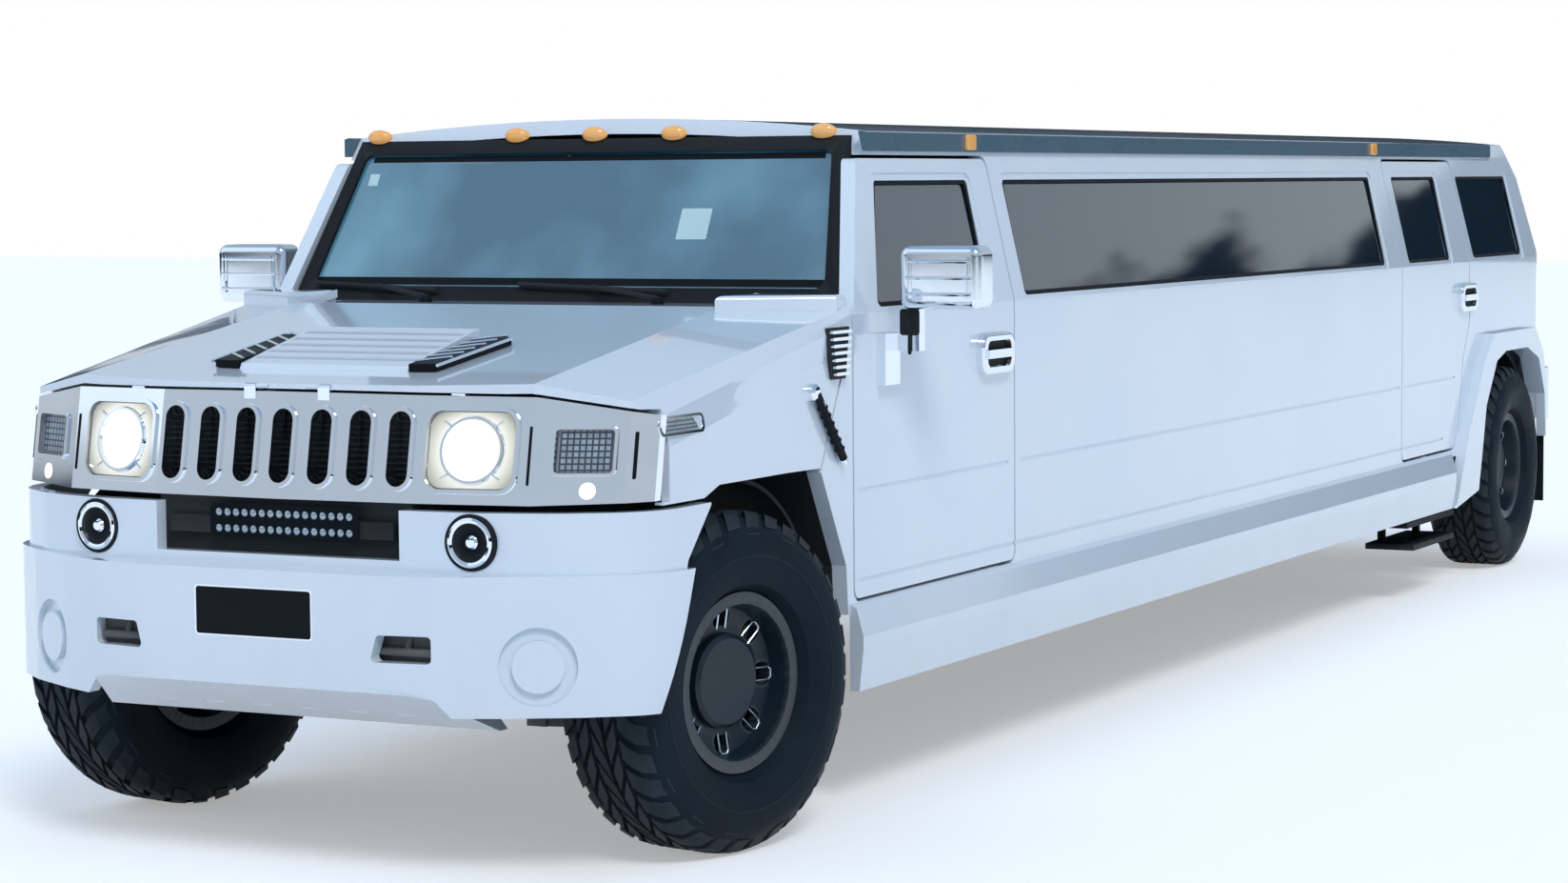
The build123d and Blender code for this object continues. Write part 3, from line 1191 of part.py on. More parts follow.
def make_cabin():
    """What shows through the glass: dashboard, seats, partition, bench and cabinet."""
    with BuildPart() as dash:
        with BuildSketch(Plane.YZ.offset(-880)):
            with BuildLine():
                Polyline((FA + 662, 1262), (FA + 662, 1380), (FA + 760, 1375), (FA + 900, 1300), (FA + 880, 1120),
                         (FA + 800, 1000), (FA + 662, 1000), close=True)
            make_face()
        extrude(amount=1760)
        with Locations(Location((-400, FA + 1010, 1215), (65, 0, 0))):
            Torus(180, 16)
            Cylinder(50, 30)
            Box(340, 40, 20)
        with Locations(Location((-400, FA + 930, 1180), (65, 0, 0))):
            Cylinder(30, 160)
    save(dash.part, "dashboard")

    with BuildPart() as seats:
        for x in (-420, 420):
            block(x - 250, x + 250, FA + 1180, FA + 1660, FLOOR_TOP, 1020)
            with BuildSketch(Plane.YZ.offset(x - 250)):
                with BuildLine():
                    Polyline((FA + 1540, 1020), (FA + 1640, 1560), (FA + 1740, 1560), (FA + 1660, 1020), close=True)
                make_face()
            extrude(amount=500)
    save(seats.part, "front_seats")

    with BuildPart() as partition:
        block(-900, 900, FA + 1800, FA + 1840, FLOOR_TOP, 1400)
    save(partition.part, "partition")

    with BuildPart() as bench:
        block(-900, -350, FA + 2400, RA - 640, FLOOR_TOP, 1050)
        block(-900, -740, FA + 2400, RA - 640, 1050, 1400)
        wide = REAR_LINER_IN - 30
        block(-wide, wide, RA - 640, RA, FLOOR_TOP, 1050)
        block(-wide, wide, RA - 160, RA, 1050, 1450)
    save(bench.part, "lounge_seats")

    with BuildPart() as bar:
        block(520, 900, FA + 2300, RA - 2000, FLOOR_TOP, 1280)
    save(bar.part, "bar_cabinet")


make_bonnet()
make_frame()
make_front_suspension()
make_wheels()
make_rear_and_sides()
make_cabin()

os.makedirs("parts", exist_ok=True)
for piece in made:
    export_step(piece, f"parts/{piece.label}.step")
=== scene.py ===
# %% [markdown]
# A stretched off-road limousine, dressed on its CAD frame.
# The CAD model gives every rigid piece its place, in metres, with +Z up and the nose towards -Y.
# This file adds what a CAD model leaves out: paint, chrome, glass, tread, lamp detail, seats and trim.

# %% Load the frame
import json
import math

import bmesh
import bpy
from mathutils import Matrix, Vector


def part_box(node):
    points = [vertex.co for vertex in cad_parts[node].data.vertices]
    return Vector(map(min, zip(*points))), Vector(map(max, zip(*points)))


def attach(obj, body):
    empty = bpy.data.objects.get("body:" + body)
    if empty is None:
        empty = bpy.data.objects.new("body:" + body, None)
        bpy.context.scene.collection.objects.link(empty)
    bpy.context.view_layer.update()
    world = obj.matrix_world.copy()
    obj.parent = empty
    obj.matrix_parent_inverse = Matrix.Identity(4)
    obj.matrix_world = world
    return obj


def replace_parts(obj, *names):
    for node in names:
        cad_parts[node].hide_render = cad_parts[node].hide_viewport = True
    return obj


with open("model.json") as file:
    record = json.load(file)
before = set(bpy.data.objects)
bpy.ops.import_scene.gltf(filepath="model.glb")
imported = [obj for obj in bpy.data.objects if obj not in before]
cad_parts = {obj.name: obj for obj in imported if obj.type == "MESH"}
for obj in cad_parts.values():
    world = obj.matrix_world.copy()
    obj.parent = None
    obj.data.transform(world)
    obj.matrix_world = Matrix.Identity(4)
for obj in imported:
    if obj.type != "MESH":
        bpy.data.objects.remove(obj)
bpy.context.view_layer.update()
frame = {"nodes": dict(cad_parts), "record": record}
NODES = frame["nodes"]

# %% [markdown]
# Places on the car are measured from its axles. Both axles are read from the CAD rims, so nothing
# here has to repeat the wheelbase.

# %% Axles and wheel sizes
def middle(node):
    low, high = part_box(node)
    return (Vector(low) + Vector(high)) / 2


FA = (middle("rim_front_left").y + middle("rim_front_right").y) / 2
RA = middle("rim_rear_left").y
print("front axle", round(FA, 4), "rear axle", round(RA, 4))

# %% [markdown]
# The camera stands where the photograph was taken: low, in front of the car's left corner, with a
# long lens. It could be placed by eye, but a long car shows every error, so its place was solved
# from the wheels and the panel corners. It needs no lens shift.

# %% Camera
SENSOR_WIDTH, FOCAL_LENGTH, SIGHT = 36.0, 79.88, 200.0
CAMERA_PLACE = (5.1994, FA - 8.0987, 1.7676)
YAW, PITCH, ROLL = 0.46888, 0.074194, -0.007633
camera_data = bpy.data.cameras.new("camera")
camera_data.sensor_width = SENSOR_WIDTH
camera_data.lens = FOCAL_LENGTH
camera_data.clip_end = SIGHT
camera = bpy.data.objects.new("camera", camera_data)
bpy.context.scene.collection.objects.link(camera)
camera.location = CAMERA_PLACE
look = Vector((-math.sin(YAW) * math.cos(PITCH), math.cos(YAW) * math.cos(PITCH), -math.sin(PITCH)))
right = Vector((math.cos(YAW), math.sin(YAW), 0.0))
up = right.cross(look)
right_rolled = right * math.cos(ROLL) + up * math.sin(ROLL)
up_rolled = -right * math.sin(ROLL) + up * math.cos(ROLL)
turn = Matrix((right_rolled, up_rolled, -look)).transposed()
camera.rotation_euler = turn.to_euler()
bpy.context.scene.camera = camera
bpy.context.scene.view_settings.view_transform = "Standard"
print("camera at", [round(v, 3) for v in CAMERA_PLACE], "lens", FOCAL_LENGTH)

# %% [markdown]
# A white car needs a pale floor, or its lower edges would go dark. Area lamps could light it, but a
# car this long would be brighter near the lamp. Two suns light it evenly, and their wide angles keep
# the shadows soft.

# %% Floor and light
FLOOR_HALF = 60
floor_mesh = bpy.data.meshes.new("floor")
corners = [(x * FLOOR_HALF, y * FLOOR_HALF, 0) for x, y in ((-1, -1), (1, -1), (1, 1), (-1, 1))]
floor_mesh.from_pydata(corners, [], [(0, 1, 2, 3)])
floor_mesh.update()
floor = bpy.data.objects.new("floor", floor_mesh)
bpy.context.scene.collection.objects.link(floor)


def sun(name, come_from, strength, angle, colour=(1, 1, 1)):
    """A sun lamp whose light comes from a direction. A wider angle gives softer shadows."""
    data = bpy.data.lights.new(name, "SUN")
    data.energy, data.angle, data.color = strength, math.radians(angle), colour
    lamp = bpy.data.objects.new(name, data)
    bpy.context.scene.collection.objects.link(lamp)
    lamp.rotation_euler = Vector(come_from).to_track_quat("Z", "Y").to_euler()


sun("key_light", (0.50, -0.50, 0.75), 1.25, 18)
sun("fill_light", (-0.6, -0.4, 0.5), 0.30, 50, (0.80, 0.90, 1.0))
print("lamps:", len(bpy.data.lights))

# %% [markdown]
# Dark glass looks like glass only when it mirrors something. A picture of a real place could stand
# round the car, but nodes give enough: a pale sky over a ragged line of dark trees. The camera itself
# sees plain white behind the car.

# %% Surroundings
world = bpy.data.worlds.new("studio")
bpy.context.scene.world = world
world.use_nodes = True
nodes, links = world.node_tree.nodes, world.node_tree.links
nodes.clear()
direction = nodes.new("ShaderNodeTexCoord")
parts = nodes.new("ShaderNodeSeparateXYZ")
leaves = nodes.new("ShaderNodeTexNoise")
leaves.inputs["Scale"].default_value = 7.0
leaves.inputs["Detail"].default_value = 9.0
treetop = nodes.new("ShaderNodeMapRange")
treetop.inputs["From Min"].default_value, treetop.inputs["From Max"].default_value = 0.35, 0.65
treetop.inputs["To Min"].default_value, treetop.inputs["To Max"].default_value = -0.02, 0.20
below = nodes.new("ShaderNodeMath")
below.operation = "SUBTRACT"
edge = nodes.new("ShaderNodeMapRange")
edge.inputs["From Min"].default_value, edge.inputs["From Max"].default_value = -0.01, 0.01
sky = nodes.new("ShaderNodeValToRGB")
sky.color_ramp.elements[0].color = (0.86, 0.93, 1.0, 1)
sky.color_ramp.elements[1].color = (0.34, 0.58, 0.90, 1)
trees = nodes.new("ShaderNodeMix")
trees.data_type = "RGBA"
trees.inputs["A"].default_value = (0.012, 0.03, 0.05, 1)
lit = nodes.new("ShaderNodeBackground")
lit.inputs["Strength"].default_value = 0.66
seen = nodes.new("ShaderNodeBackground")
seen.inputs["Color"].default_value = (1, 1, 1, 1)
path = nodes.new("ShaderNodeLightPath")
mix = nodes.new("ShaderNodeMixShader")
out = nodes.new("ShaderNodeOutputWorld")
links.new(direction.outputs["Generated"], parts.inputs[0])
links.new(direction.outputs["Generated"], leaves.inputs["Vector"])
links.new(leaves.outputs["Fac"], treetop.inputs["Value"])
links.new(parts.outputs["Z"], below.inputs[0])
links.new(treetop.outputs["Result"], below.inputs[1])
links.new(below.outputs[0], edge.inputs["Value"])
links.new(parts.outputs["Z"], sky.inputs["Fac"])
links.new(edge.outputs["Result"], trees.inputs["Factor"])
links.new(sky.outputs["Color"], trees.inputs["B"])
links.new(trees.outputs["Result"], lit.inputs["Color"])
links.new(path.outputs["Is Camera Ray"], mix.inputs[0])
links.new(lit.outputs[0], mix.inputs[1])
links.new(seen.outputs[0], mix.inputs[2])
links.new(mix.outputs[0], out.inputs["Surface"])

floor_stuff = bpy.data.materials.new("pale_floor")
floor_stuff.use_nodes = True
floor_shader = floor_stuff.node_tree.nodes["Principled BSDF"]
floor_shader.inputs["Base Color"].default_value = (0.82, 0.83, 0.84, 1)
floor_shader.inputs["Roughness"].default_value = 0.9
floor_shader.inputs["Emission Color"].default_value = (1, 1, 1, 1)
floor_path = floor_stuff.node_tree.nodes.new("ShaderNodeLightPath")
seen_by = floor_stuff.node_tree.nodes.new("ShaderNodeMath")
seen_by.operation = "MAXIMUM"
lift = floor_stuff.node_tree.nodes.new("ShaderNodeMath")
lift.operation = "MULTIPLY"
lift.inputs[1].default_value = 0.36
floor_links = floor_stuff.node_tree.links
floor_links.new(floor_path.outputs["Is Camera Ray"], seen_by.inputs[0])
floor_links.new(floor_path.outputs["Is Glossy Ray"], seen_by.inputs[1])
floor_links.new(seen_by.outputs[0], lift.inputs[0])
floor_links.new(lift.outputs[0], floor_shader.inputs["Emission Strength"])
floor.data.materials.append(floor_stuff)
print("nodes in the world:", len(nodes))

# %% [markdown]
# No real surface has one tone all over. Each material could hold its own noise, but then a change
# would be made in many places. Slow drifts of tone, fine relief, and worn edges with road dust are
# three shared node groups instead, which each material places with its own values.

# %% Shared node groups
def new_group(name, inputs, outputs):
    """A shader node group, from (label, socket type, default) inputs and (label, type) outputs."""
    tree = bpy.data.node_groups.new(name, "ShaderNodeTree")
    for label, kind, value in inputs:
        socket = tree.interface.new_socket(name=label, in_out="INPUT", socket_type=kind)
        if value is not None:
            socket.default_value = value
    for label, kind in outputs:
        tree.interface.new_socket(name=label, in_out="OUTPUT", socket_type=kind)
    return tree, tree.nodes.new("NodeGroupInput"), tree.nodes.new("NodeGroupOutput")


def drift_group():
    """Mixes two colours by slow noise, and gives a roughness that follows the same noise."""
    tree, given, result = new_group(
        "tone_drift",
        [("Colour A", "NodeSocketColor", None), ("Colour B", "NodeSocketColor", None),
         ("Scale", "NodeSocketFloat", 3.0), ("Rough Low", "NodeSocketFloat", 0.2),
         ("Rough High", "NodeSocketFloat", 0.3)],
        [("Colour", "NodeSocketColor"), ("Roughness", "NodeSocketFloat")],
    )
    where = tree.nodes.new("ShaderNodeTexCoord")
    noise = tree.nodes.new("ShaderNodeTexNoise")
    noise.inputs["Detail"].default_value = 5
    ramp = tree.nodes.new("ShaderNodeMapRange")
    ramp.inputs["From Min"].default_value = 0.35
    ramp.inputs["From Max"].default_value = 0.65
    colours = tree.nodes.new("ShaderNodeMix")
    colours.data_type = "RGBA"
    rough = tree.nodes.new("ShaderNodeMapRange")
    link = tree.links.new
    link(where.outputs["Object"], noise.inputs["Vector"])
    link(given.outputs["Scale"], noise.inputs["Scale"])
    link(noise.outputs["Fac"], ramp.inputs["Value"])
    link(ramp.outputs["Result"], colours.inputs["Factor"])
    link(given.outputs["Colour A"], colours.inputs["A"])
    link(given.outputs["Colour B"], colours.inputs["B"])
    link(ramp.outputs["Result"], rough.inputs["Value"])
    link(given.outputs["Rough Low"], rough.inputs["To Min"])
    link(given.outputs["Rough High"], rough.inputs["To Max"])
    link(colours.outputs["Result"], result.inputs["Colour"])
    link(rough.outputs["Result"], result.inputs["Roughness"])
    return tree


def relief_group():
    """Fine noise turned into a normal, for grain and orange peel."""
    tree, given, result = new_group(
        "fine_relief",
        [("Scale", "NodeSocketFloat", 400.0), ("Height", "NodeSocketFloat", 0.1)],
        [("Normal", "NodeSocketVector")],
    )
    where = tree.nodes.new("ShaderNodeTexCoord")
    noise = tree.nodes.new("ShaderNodeTexNoise")
    noise.inputs["Detail"].default_value = 3
    bump = tree.nodes.new("ShaderNodeBump")
    bump.inputs["Distance"].default_value = 0.001
    link = tree.links.new
    link(where.outputs["Object"], noise.inputs["Vector"])
    link(given.outputs["Scale"], noise.inputs["Scale"])
    link(given.outputs["Height"], bump.inputs["Strength"])
    link(noise.outputs["Fac"], bump.inputs["Height"])
    link(bump.outputs["Normal"], result.inputs["Normal"])
    return tree


def wear_group():
    """Convex edges rubbed paler, and road dust that thins out with height."""
    group, inside, outside = new_group(
        "edge_wear_and_dust",
        (("Colour", "NodeSocketColor", None), ("Worn", "NodeSocketColor", None),
         ("Dust", "NodeSocketColor", None), ("Wear", "NodeSocketFloat", 0.0),
         ("Dirt", "NodeSocketFloat", 0.0)),
        (("Colour", "NodeSocketColor"),),
    )
    add = group.nodes.new
    shape, where = add("ShaderNodeNewGeometry"), add("ShaderNodeTexCoord")
    edge, parts = add("ShaderNodeMapRange"), add("ShaderNodeSeparateXYZ")
    height, patch = add("ShaderNodeMapRange"), add("ShaderNodeTexNoise")
    edge.inputs["From Min"].default_value, edge.inputs["From Max"].default_value = 0.54, 0.66
    height.inputs["From Min"].default_value, height.inputs["From Max"].default_value = 0.75, 0.30
    patch.inputs["Scale"].default_value, patch.inputs["Detail"].default_value = 6.0, 6.0
    steps = [add("ShaderNodeMath") for _ in range(4)]
    for step in steps:
        step.operation = "MULTIPLY"
    steps[3].inputs[1].default_value = 0.45
    worn, dusty = add("ShaderNodeMix"), add("ShaderNodeMix")
    worn.data_type = dusty.data_type = "RGBA"
    link = group.links.new
    link(shape.outputs["Pointiness"], edge.inputs["Value"])
    link(edge.outputs["Result"], steps[0].inputs[0])
    link(inside.outputs["Wear"], steps[0].inputs[1])
    link(where.outputs["Object"], parts.inputs[0])
    link(where.outputs["Object"], patch.inputs["Vector"])
    link(parts.outputs["Z"], height.inputs["Value"])
    link(height.outputs["Result"], steps[1].inputs[0])
    link(patch.outputs["Fac"], steps[1].inputs[1])
    link(steps[1].outputs[0], steps[2].inputs[0])
    link(inside.outputs["Dirt"], steps[2].inputs[1])
    link(steps[2].outputs[0], steps[3].inputs[0])
    link(steps[0].outputs[0], worn.inputs["Factor"])
    link(inside.outputs["Colour"], worn.inputs["A"])
    link(inside.outputs["Worn"], worn.inputs["B"])
    link(steps[3].outputs[0], dusty.inputs["Factor"])
    link(worn.outputs["Result"], dusty.inputs["A"])
    link(inside.outputs["Dust"], dusty.inputs["B"])
    link(dusty.outputs["Result"], outside.inputs["Colour"])
    return group


TONE_DRIFT, FINE_RELIEF, WEAR_AND_DUST = drift_group(), relief_group(), wear_group()
print("groups:", TONE_DRIFT.name, FINE_RELIEF.name, WEAR_AND_DUST.name)

# %% [markdown]
# The car is white paint under a clear coat, with black plastic, chrome, rubber and tinted glass. Each
# could be built node by node. One helper makes them all, so a finish is a line of colours and values.

# %% Finishes
DUST_COLOUR = (0.36, 0.32, 0.27, 1)


def finish_of(name, colour, second=None, rough=(0.3, 0.4), metallic=0.0, scale=3.0, grain=0.0,
              grain_scale=400.0, wear=0.0, dust=0.0, **sockets):
    """A Principled finish whose tone and roughness drift a little, with fine relief where grain is set."""
    material = bpy.data.materials.new(name)
    material.use_nodes = True
    tree = material.node_tree
    shader = tree.nodes["Principled BSDF"]
    drift = tree.nodes.new("ShaderNodeGroup")
    drift.node_tree = TONE_DRIFT
    drift.inputs["Colour A"].default_value = (*colour, 1)
    drift.inputs["Colour B"].default_value = (*(second or [c * 0.94 for c in colour]), 1)
    drift.inputs["Scale"].default_value = scale
    drift.inputs["Rough Low"].default_value, drift.inputs["Rough High"].default_value = rough
    tree.links.new(drift.outputs["Colour"], shader.inputs["Base Color"])
    tree.links.new(drift.outputs["Roughness"], shader.inputs["Roughness"])
    if wear or dust:
        aged = tree.nodes.new("ShaderNodeGroup")
        aged.node_tree = WEAR_AND_DUST
        aged.inputs["Worn"].default_value = (*[0.25 + 0.5 * c for c in colour], 1)
        aged.inputs["Dust"].default_value = DUST_COLOUR
        aged.inputs["Wear"].default_value, aged.inputs["Dirt"].default_value = wear, dust
        tree.links.new(drift.outputs["Colour"], aged.inputs["Colour"])
        tree.links.new(aged.outputs["Colour"], shader.inputs["Base Color"])
    shader.inputs["Metallic"].default_value = metallic
    if grain:
        relief = tree.nodes.new("ShaderNodeGroup")
        relief.node_tree = FINE_RELIEF
        relief.inputs["Scale"].default_value = grain_scale
        relief.inputs["Height"].default_value = grain
        tree.links.new(relief.outputs["Normal"], shader.inputs["Normal"])
    for socket, value in sockets.items():
        shader.inputs[socket.replace("_", " ")].default_value = value
    return material


white_paint = finish_of("white_paint", (0.77, 0.84, 0.92), (0.73, 0.81, 0.90), (0.16, 0.22), scale=1.2,
                        dust=0.5, Coat_Weight=1.0, Coat_Roughness=0.03)
black_plastic = finish_of("black_plastic", (0.002, 0.005, 0.008), rough=(0.5, 0.65), grain=0.25, wear=0.15,
                          Specular_IOR_Level=0.1)
chrome = finish_of("chrome", (0.86, 0.90, 0.95), rough=(0.04, 0.08), metallic=1.0)
rail_grey = finish_of("rail_grey", (0.07, 0.14, 0.19), rough=(0.25, 0.35), Coat_Weight=0.5)
frame_black = finish_of("frame_black", (0.012, 0.012, 0.014), (0.03, 0.026, 0.022), (0.5, 0.7), scale=8,
                        grain=0.3, wear=0.6, dust=1.0, Specular_IOR_Level=0.25)
cast_iron = finish_of("cast_iron", (0.05, 0.05, 0.053), (0.08, 0.065, 0.055), (0.6, 0.8), metallic=0.6,
                      grain=0.6)
rubber = finish_of("rubber", (0.006, 0.008, 0.012), (0.010, 0.013, 0.018), (0.62, 0.78), scale=9, grain=0.4,
                   Specular_IOR_Level=0.2)
wheel_black = finish_of("wheel_black", (0.008, 0.012, 0.018), rough=(0.3, 0.45), wear=0.4,
                        Specular_IOR_Level=0.3)
trim_grey = finish_of("trim_grey", (0.05, 0.055, 0.06), rough=(0.5, 0.7), grain=0.5, grain_scale=250)
red_lens = finish_of("red_lens", (0.45, 0.01, 0.01), rough=(0.1, 0.2), Coat_Weight=1.0)
leather = finish_of("leather", (0.035, 0.035, 0.04), rough=(0.35, 0.5), grain=0.6, grain_scale=120)


def glass_of(name, tint, rough=0.02, alpha=0.5, coat_ior=1.5):
    """A tinted pane. The lower its alpha, the more shows through, and a clear coat gives the gloss."""
    material = finish_of(name, tint, tint, (rough, rough + 0.01))
    shader = material.node_tree.nodes["Principled BSDF"]
    shader.inputs["Alpha"].default_value = alpha
    shader.inputs["Coat Weight"].default_value = 1.0
    shader.inputs["Coat IOR"].default_value = coat_ior
    return material


def pane_glass(name, side_tint, screen_tint, painted_reflection, behind):
    """One glass for all fixed panes: teal with pale drifts ahead of the Y called behind, dark after it. The
    pale drifts are painted sky reflection in the base colour.
    """
    material = glass_of(name, side_tint, alpha=0.94, coat_ior=1.9)
    tree = material.node_tree
    shader = tree.nodes["Principled BSDF"]
    where = tree.nodes.new("ShaderNodeTexCoord")
    parts = tree.nodes.new("ShaderNodeSeparateXYZ")
    is_screen = tree.nodes.new("ShaderNodeMath")
    is_screen.operation = "LESS_THAN"
    is_screen.inputs[1].default_value = behind
    drift = tree.nodes.new("ShaderNodeTexNoise")
    drift.inputs["Scale"].default_value = 1.6
    drift.inputs["Detail"].default_value = 3.0
    # Painted reflection: noise shifts the windscreen's colour from its teal tint towards pale sky.
    ramp = tree.nodes.new("ShaderNodeValToRGB")
    ramp.color_ramp.elements[0].color, ramp.color_ramp.elements[0].position = (*screen_tint, 1), 0.42
    ramp.color_ramp.elements[1].color, ramp.color_ramp.elements[1].position = (*painted_reflection, 1), 0.72
    tints = tree.nodes.new("ShaderNodeMix")
    tints.data_type = "RGBA"
    tints.inputs["A"].default_value = (*side_tint, 1)
    clear = tree.nodes.new("ShaderNodeMapRange")
    clear.inputs["To Min"].default_value, clear.inputs["To Max"].default_value = 0.94, 0.80
    link = tree.links.new
    link(where.outputs["Object"], parts.inputs[0])
    link(where.outputs["Object"], drift.inputs["Vector"])
    link(parts.outputs["Y"], is_screen.inputs[0])
    link(drift.outputs["Fac"], ramp.inputs["Fac"])
    link(is_screen.outputs[0], tints.inputs["Factor"])
    link(ramp.outputs["Color"], tints.inputs["B"])
    link(tints.outputs["Result"], shader.inputs["Base Color"])
    link(is_screen.outputs[0], clear.inputs["Value"])
    link(clear.outputs["Result"], shader.inputs["Alpha"])
    return material


# The third colour is painted reflection of the sky, laid into the windscreen's colour.
SIDE_TINT, SCREEN_TINT, SCREEN_PAINTED_REFLECTION = (0.010, 0.018, 0.030), (0.010, 0.125, 0.205), (0.17, 0.44, 0.56)
SCREEN_END = FA + 1.1
dark_glass = glass_of("dark_glass", SIDE_TINT, alpha=0.94, coat_ior=1.9)
fixed_panes = pane_glass("fixed_panes", SIDE_TINT, SCREEN_TINT, SCREEN_PAINTED_REFLECTION, SCREEN_END)
lamp_glass = glass_of("lamp_glass", (0.8, 0.82, 0.85), alpha=0.35)
print("materials:", len(bpy.data.materials))

# %% [markdown]
# Each CAD piece names the kind of stuff it is made of. A finish could be picked by hand for every
# piece, but one table from kind to finish dresses them all and misses none.

# %% Finishes on the CAD nodes
FINISHES = {
    "white_paint": white_paint, "black_plastic": black_plastic, "chrome": chrome, "rail_grey": rail_grey,
    "frame_steel": frame_black, "cast_iron": cast_iron, "tyre_rubber": rubber, "rubber": rubber,
    "wheel_black": wheel_black, "trim_grey": trim_grey, "red_lamp": red_lens, "seat_leather": leather,
    "dark_glass": dark_glass, "lamp_glass": lamp_glass, "skid_silver": white_paint,
    "amber_lamp": red_lens,
}
slot_of = {s["node"]: s["material_slot"] for s in frame["record"]["subparts"]}
for name, obj in NODES.items():
    obj.data.materials.clear()
    obj.data.materials.append(fixed_panes if name == "fixed_glass" else FINISHES[slot_of[name]])
print("pieces dressed:", len(NODES))

# %% [markdown]
# Trim, lamps and bars could be modelled by hand in edit mode. A few mesh moves make them all instead:
# a flat plate or frame on any plane, a turned form and a straight bar. Each piece then takes a
# material and rides on its CAD body, so it moves with that body's joint.

# %% Mesh moves
MIRROR = Matrix.Diagonal((-1, 1, 1, 1))
SIGNS = (("left", Matrix.Identity(4)), ("right", MIRROR))
MADE = []


def tell(what):
    """Prints how many pieces were made since the last call."""
    print(f"{what}: {len(MADE)} pieces")
    MADE.clear()


def plane_at(origin, u, v):
    """A matrix whose local X is u, local Y is v and local Z stands out of the plane they span."""
    u, v = Vector(u).normalized(), Vector(v).normalized()
    n = u.cross(v).normalized()
    matrix = Matrix((u, v, n)).transposed().to_4x4()
    matrix.translation = Vector(origin)
    return matrix


def front_face(x, y, z):
    """A plane that faces forward."""
    return plane_at((x, y, z), (1, 0, 0), (0, 0, 1))


def side_face(x, y, z):
    """A plane that faces out of the car's left side."""
    return plane_at((x, y, z), (0, 1, 0), (0, 0, 1))


def rounded(w, h, r, steps=5):
    """A rounded rectangle's outline round the origin."""
    points = []
    for cx, cy, start in ((w / 2 - r, h / 2 - r, 0), (r - w / 2, h / 2 - r, 90),
                          (r - w / 2, r - h / 2, 180), (w / 2 - r, r - h / 2, 270)):
        for i in range(steps + 1):
            a = math.radians(start + 90 * i / steps)
            points.append((cx + r * math.cos(a), cy + r * math.sin(a)))
    return points


def add_plate(bm, outline, frame_matrix, depth, hole=None):
    """A flat plate, or a frame where hole has as many points as the outline."""
    def loop(points, n):
        return [bm.verts.new(frame_matrix @ Vector((u, v, n))) for u, v in points]

    low, high, count = loop(outline, 0), loop(outline, depth), len(outline)
    pairs = [(i, (i + 1) % count) for i in range(count)]
    for i, j in pairs:
        bm.faces.new((low[i], low[j], high[j], high[i]))
    if hole is None:
        bm.faces.new(high)
        bm.faces.new(low[::-1])
        return
    low_in, high_in = loop(hole, 0), loop(hole, depth)
    for i, j in pairs:
        bm.faces.new((high[i], high[j], high_in[j], high_in[i]))
        bm.faces.new((low[j], low[i], low_in[i], low_in[j]))
        bm.faces.new((low_in[j], low_in[i], high_in[i], high_in[j]))


def add_turned(bm, profile, frame_matrix, segments=40):
    """A form turned round local Z, from (radius, height) points."""
    rings = []
    for r, n in profile:
        turns = [0] if r == 0 else [2 * math.pi * i / segments for i in range(segments)]
        spots = [Vector((r * math.cos(a), r * math.sin(a), n)) for a in turns]
        rings.append([bm.verts.new(frame_matrix @ spot) for spot in spots])
    for one, two in zip(rings, rings[1:]):
        for i in range(segments):
            j = (i + 1) % segments
            corners = [one[i % len(one)], one[j % len(one)], two[j % len(two)], two[i % len(two)]]
            bm.faces.new(list(dict.fromkeys(corners)))


def add_bar(bm, start, end, radius, sides=10, matrix=Matrix.Identity(4)):
    """A straight round bar."""
    start, end = matrix @ Vector(start), matrix @ Vector(end)
    along = (end - start).normalized()
    across = along.orthogonal()
    where = plane_at(start, across, along.cross(across))
    length = (end - start).length
    add_turned(bm, [(0, 0), (radius, 0), (radius, length), (0, length)], where, sides)


def piece(name, bm, material, body, bevel=0.0, smooth=True):
    """A finished piece from a bmesh, riding on a CAD body."""
    bmesh.ops.recalc_face_normals(bm, faces=bm.faces)
    mesh = bpy.data.meshes.new(name)
    bm.to_mesh(mesh)
    bm.free()
    obj = bpy.data.objects.new(name, mesh)
    bpy.context.scene.collection.objects.link(obj)
    mesh.materials.append(material)
    if smooth:
        mesh.polygons.foreach_set("use_smooth", [True] * len(mesh.polygons))
        mesh.set_sharp_from_angle(angle=math.radians(35))
    if bevel:
        soft = obj.modifiers.new("edges", "BEVEL")
        soft.width, soft.segments, soft.limit_method = bevel, 2, "ANGLE"
    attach(obj, body)
    MADE.append(name)
    return obj


print("points round a plate:", len(rounded(1.0, 1.0, 0.1)))

# %% [markdown]
# The lamps are lit, and a lit lamp is brightest where its bulb is. A real bulb and bowl behind clear
# glass would need many samples to render, so a flat face carries light that falls off from its
# middle. The corner lamps and side markers show a fine grid of prisms, laid out by brick nodes.

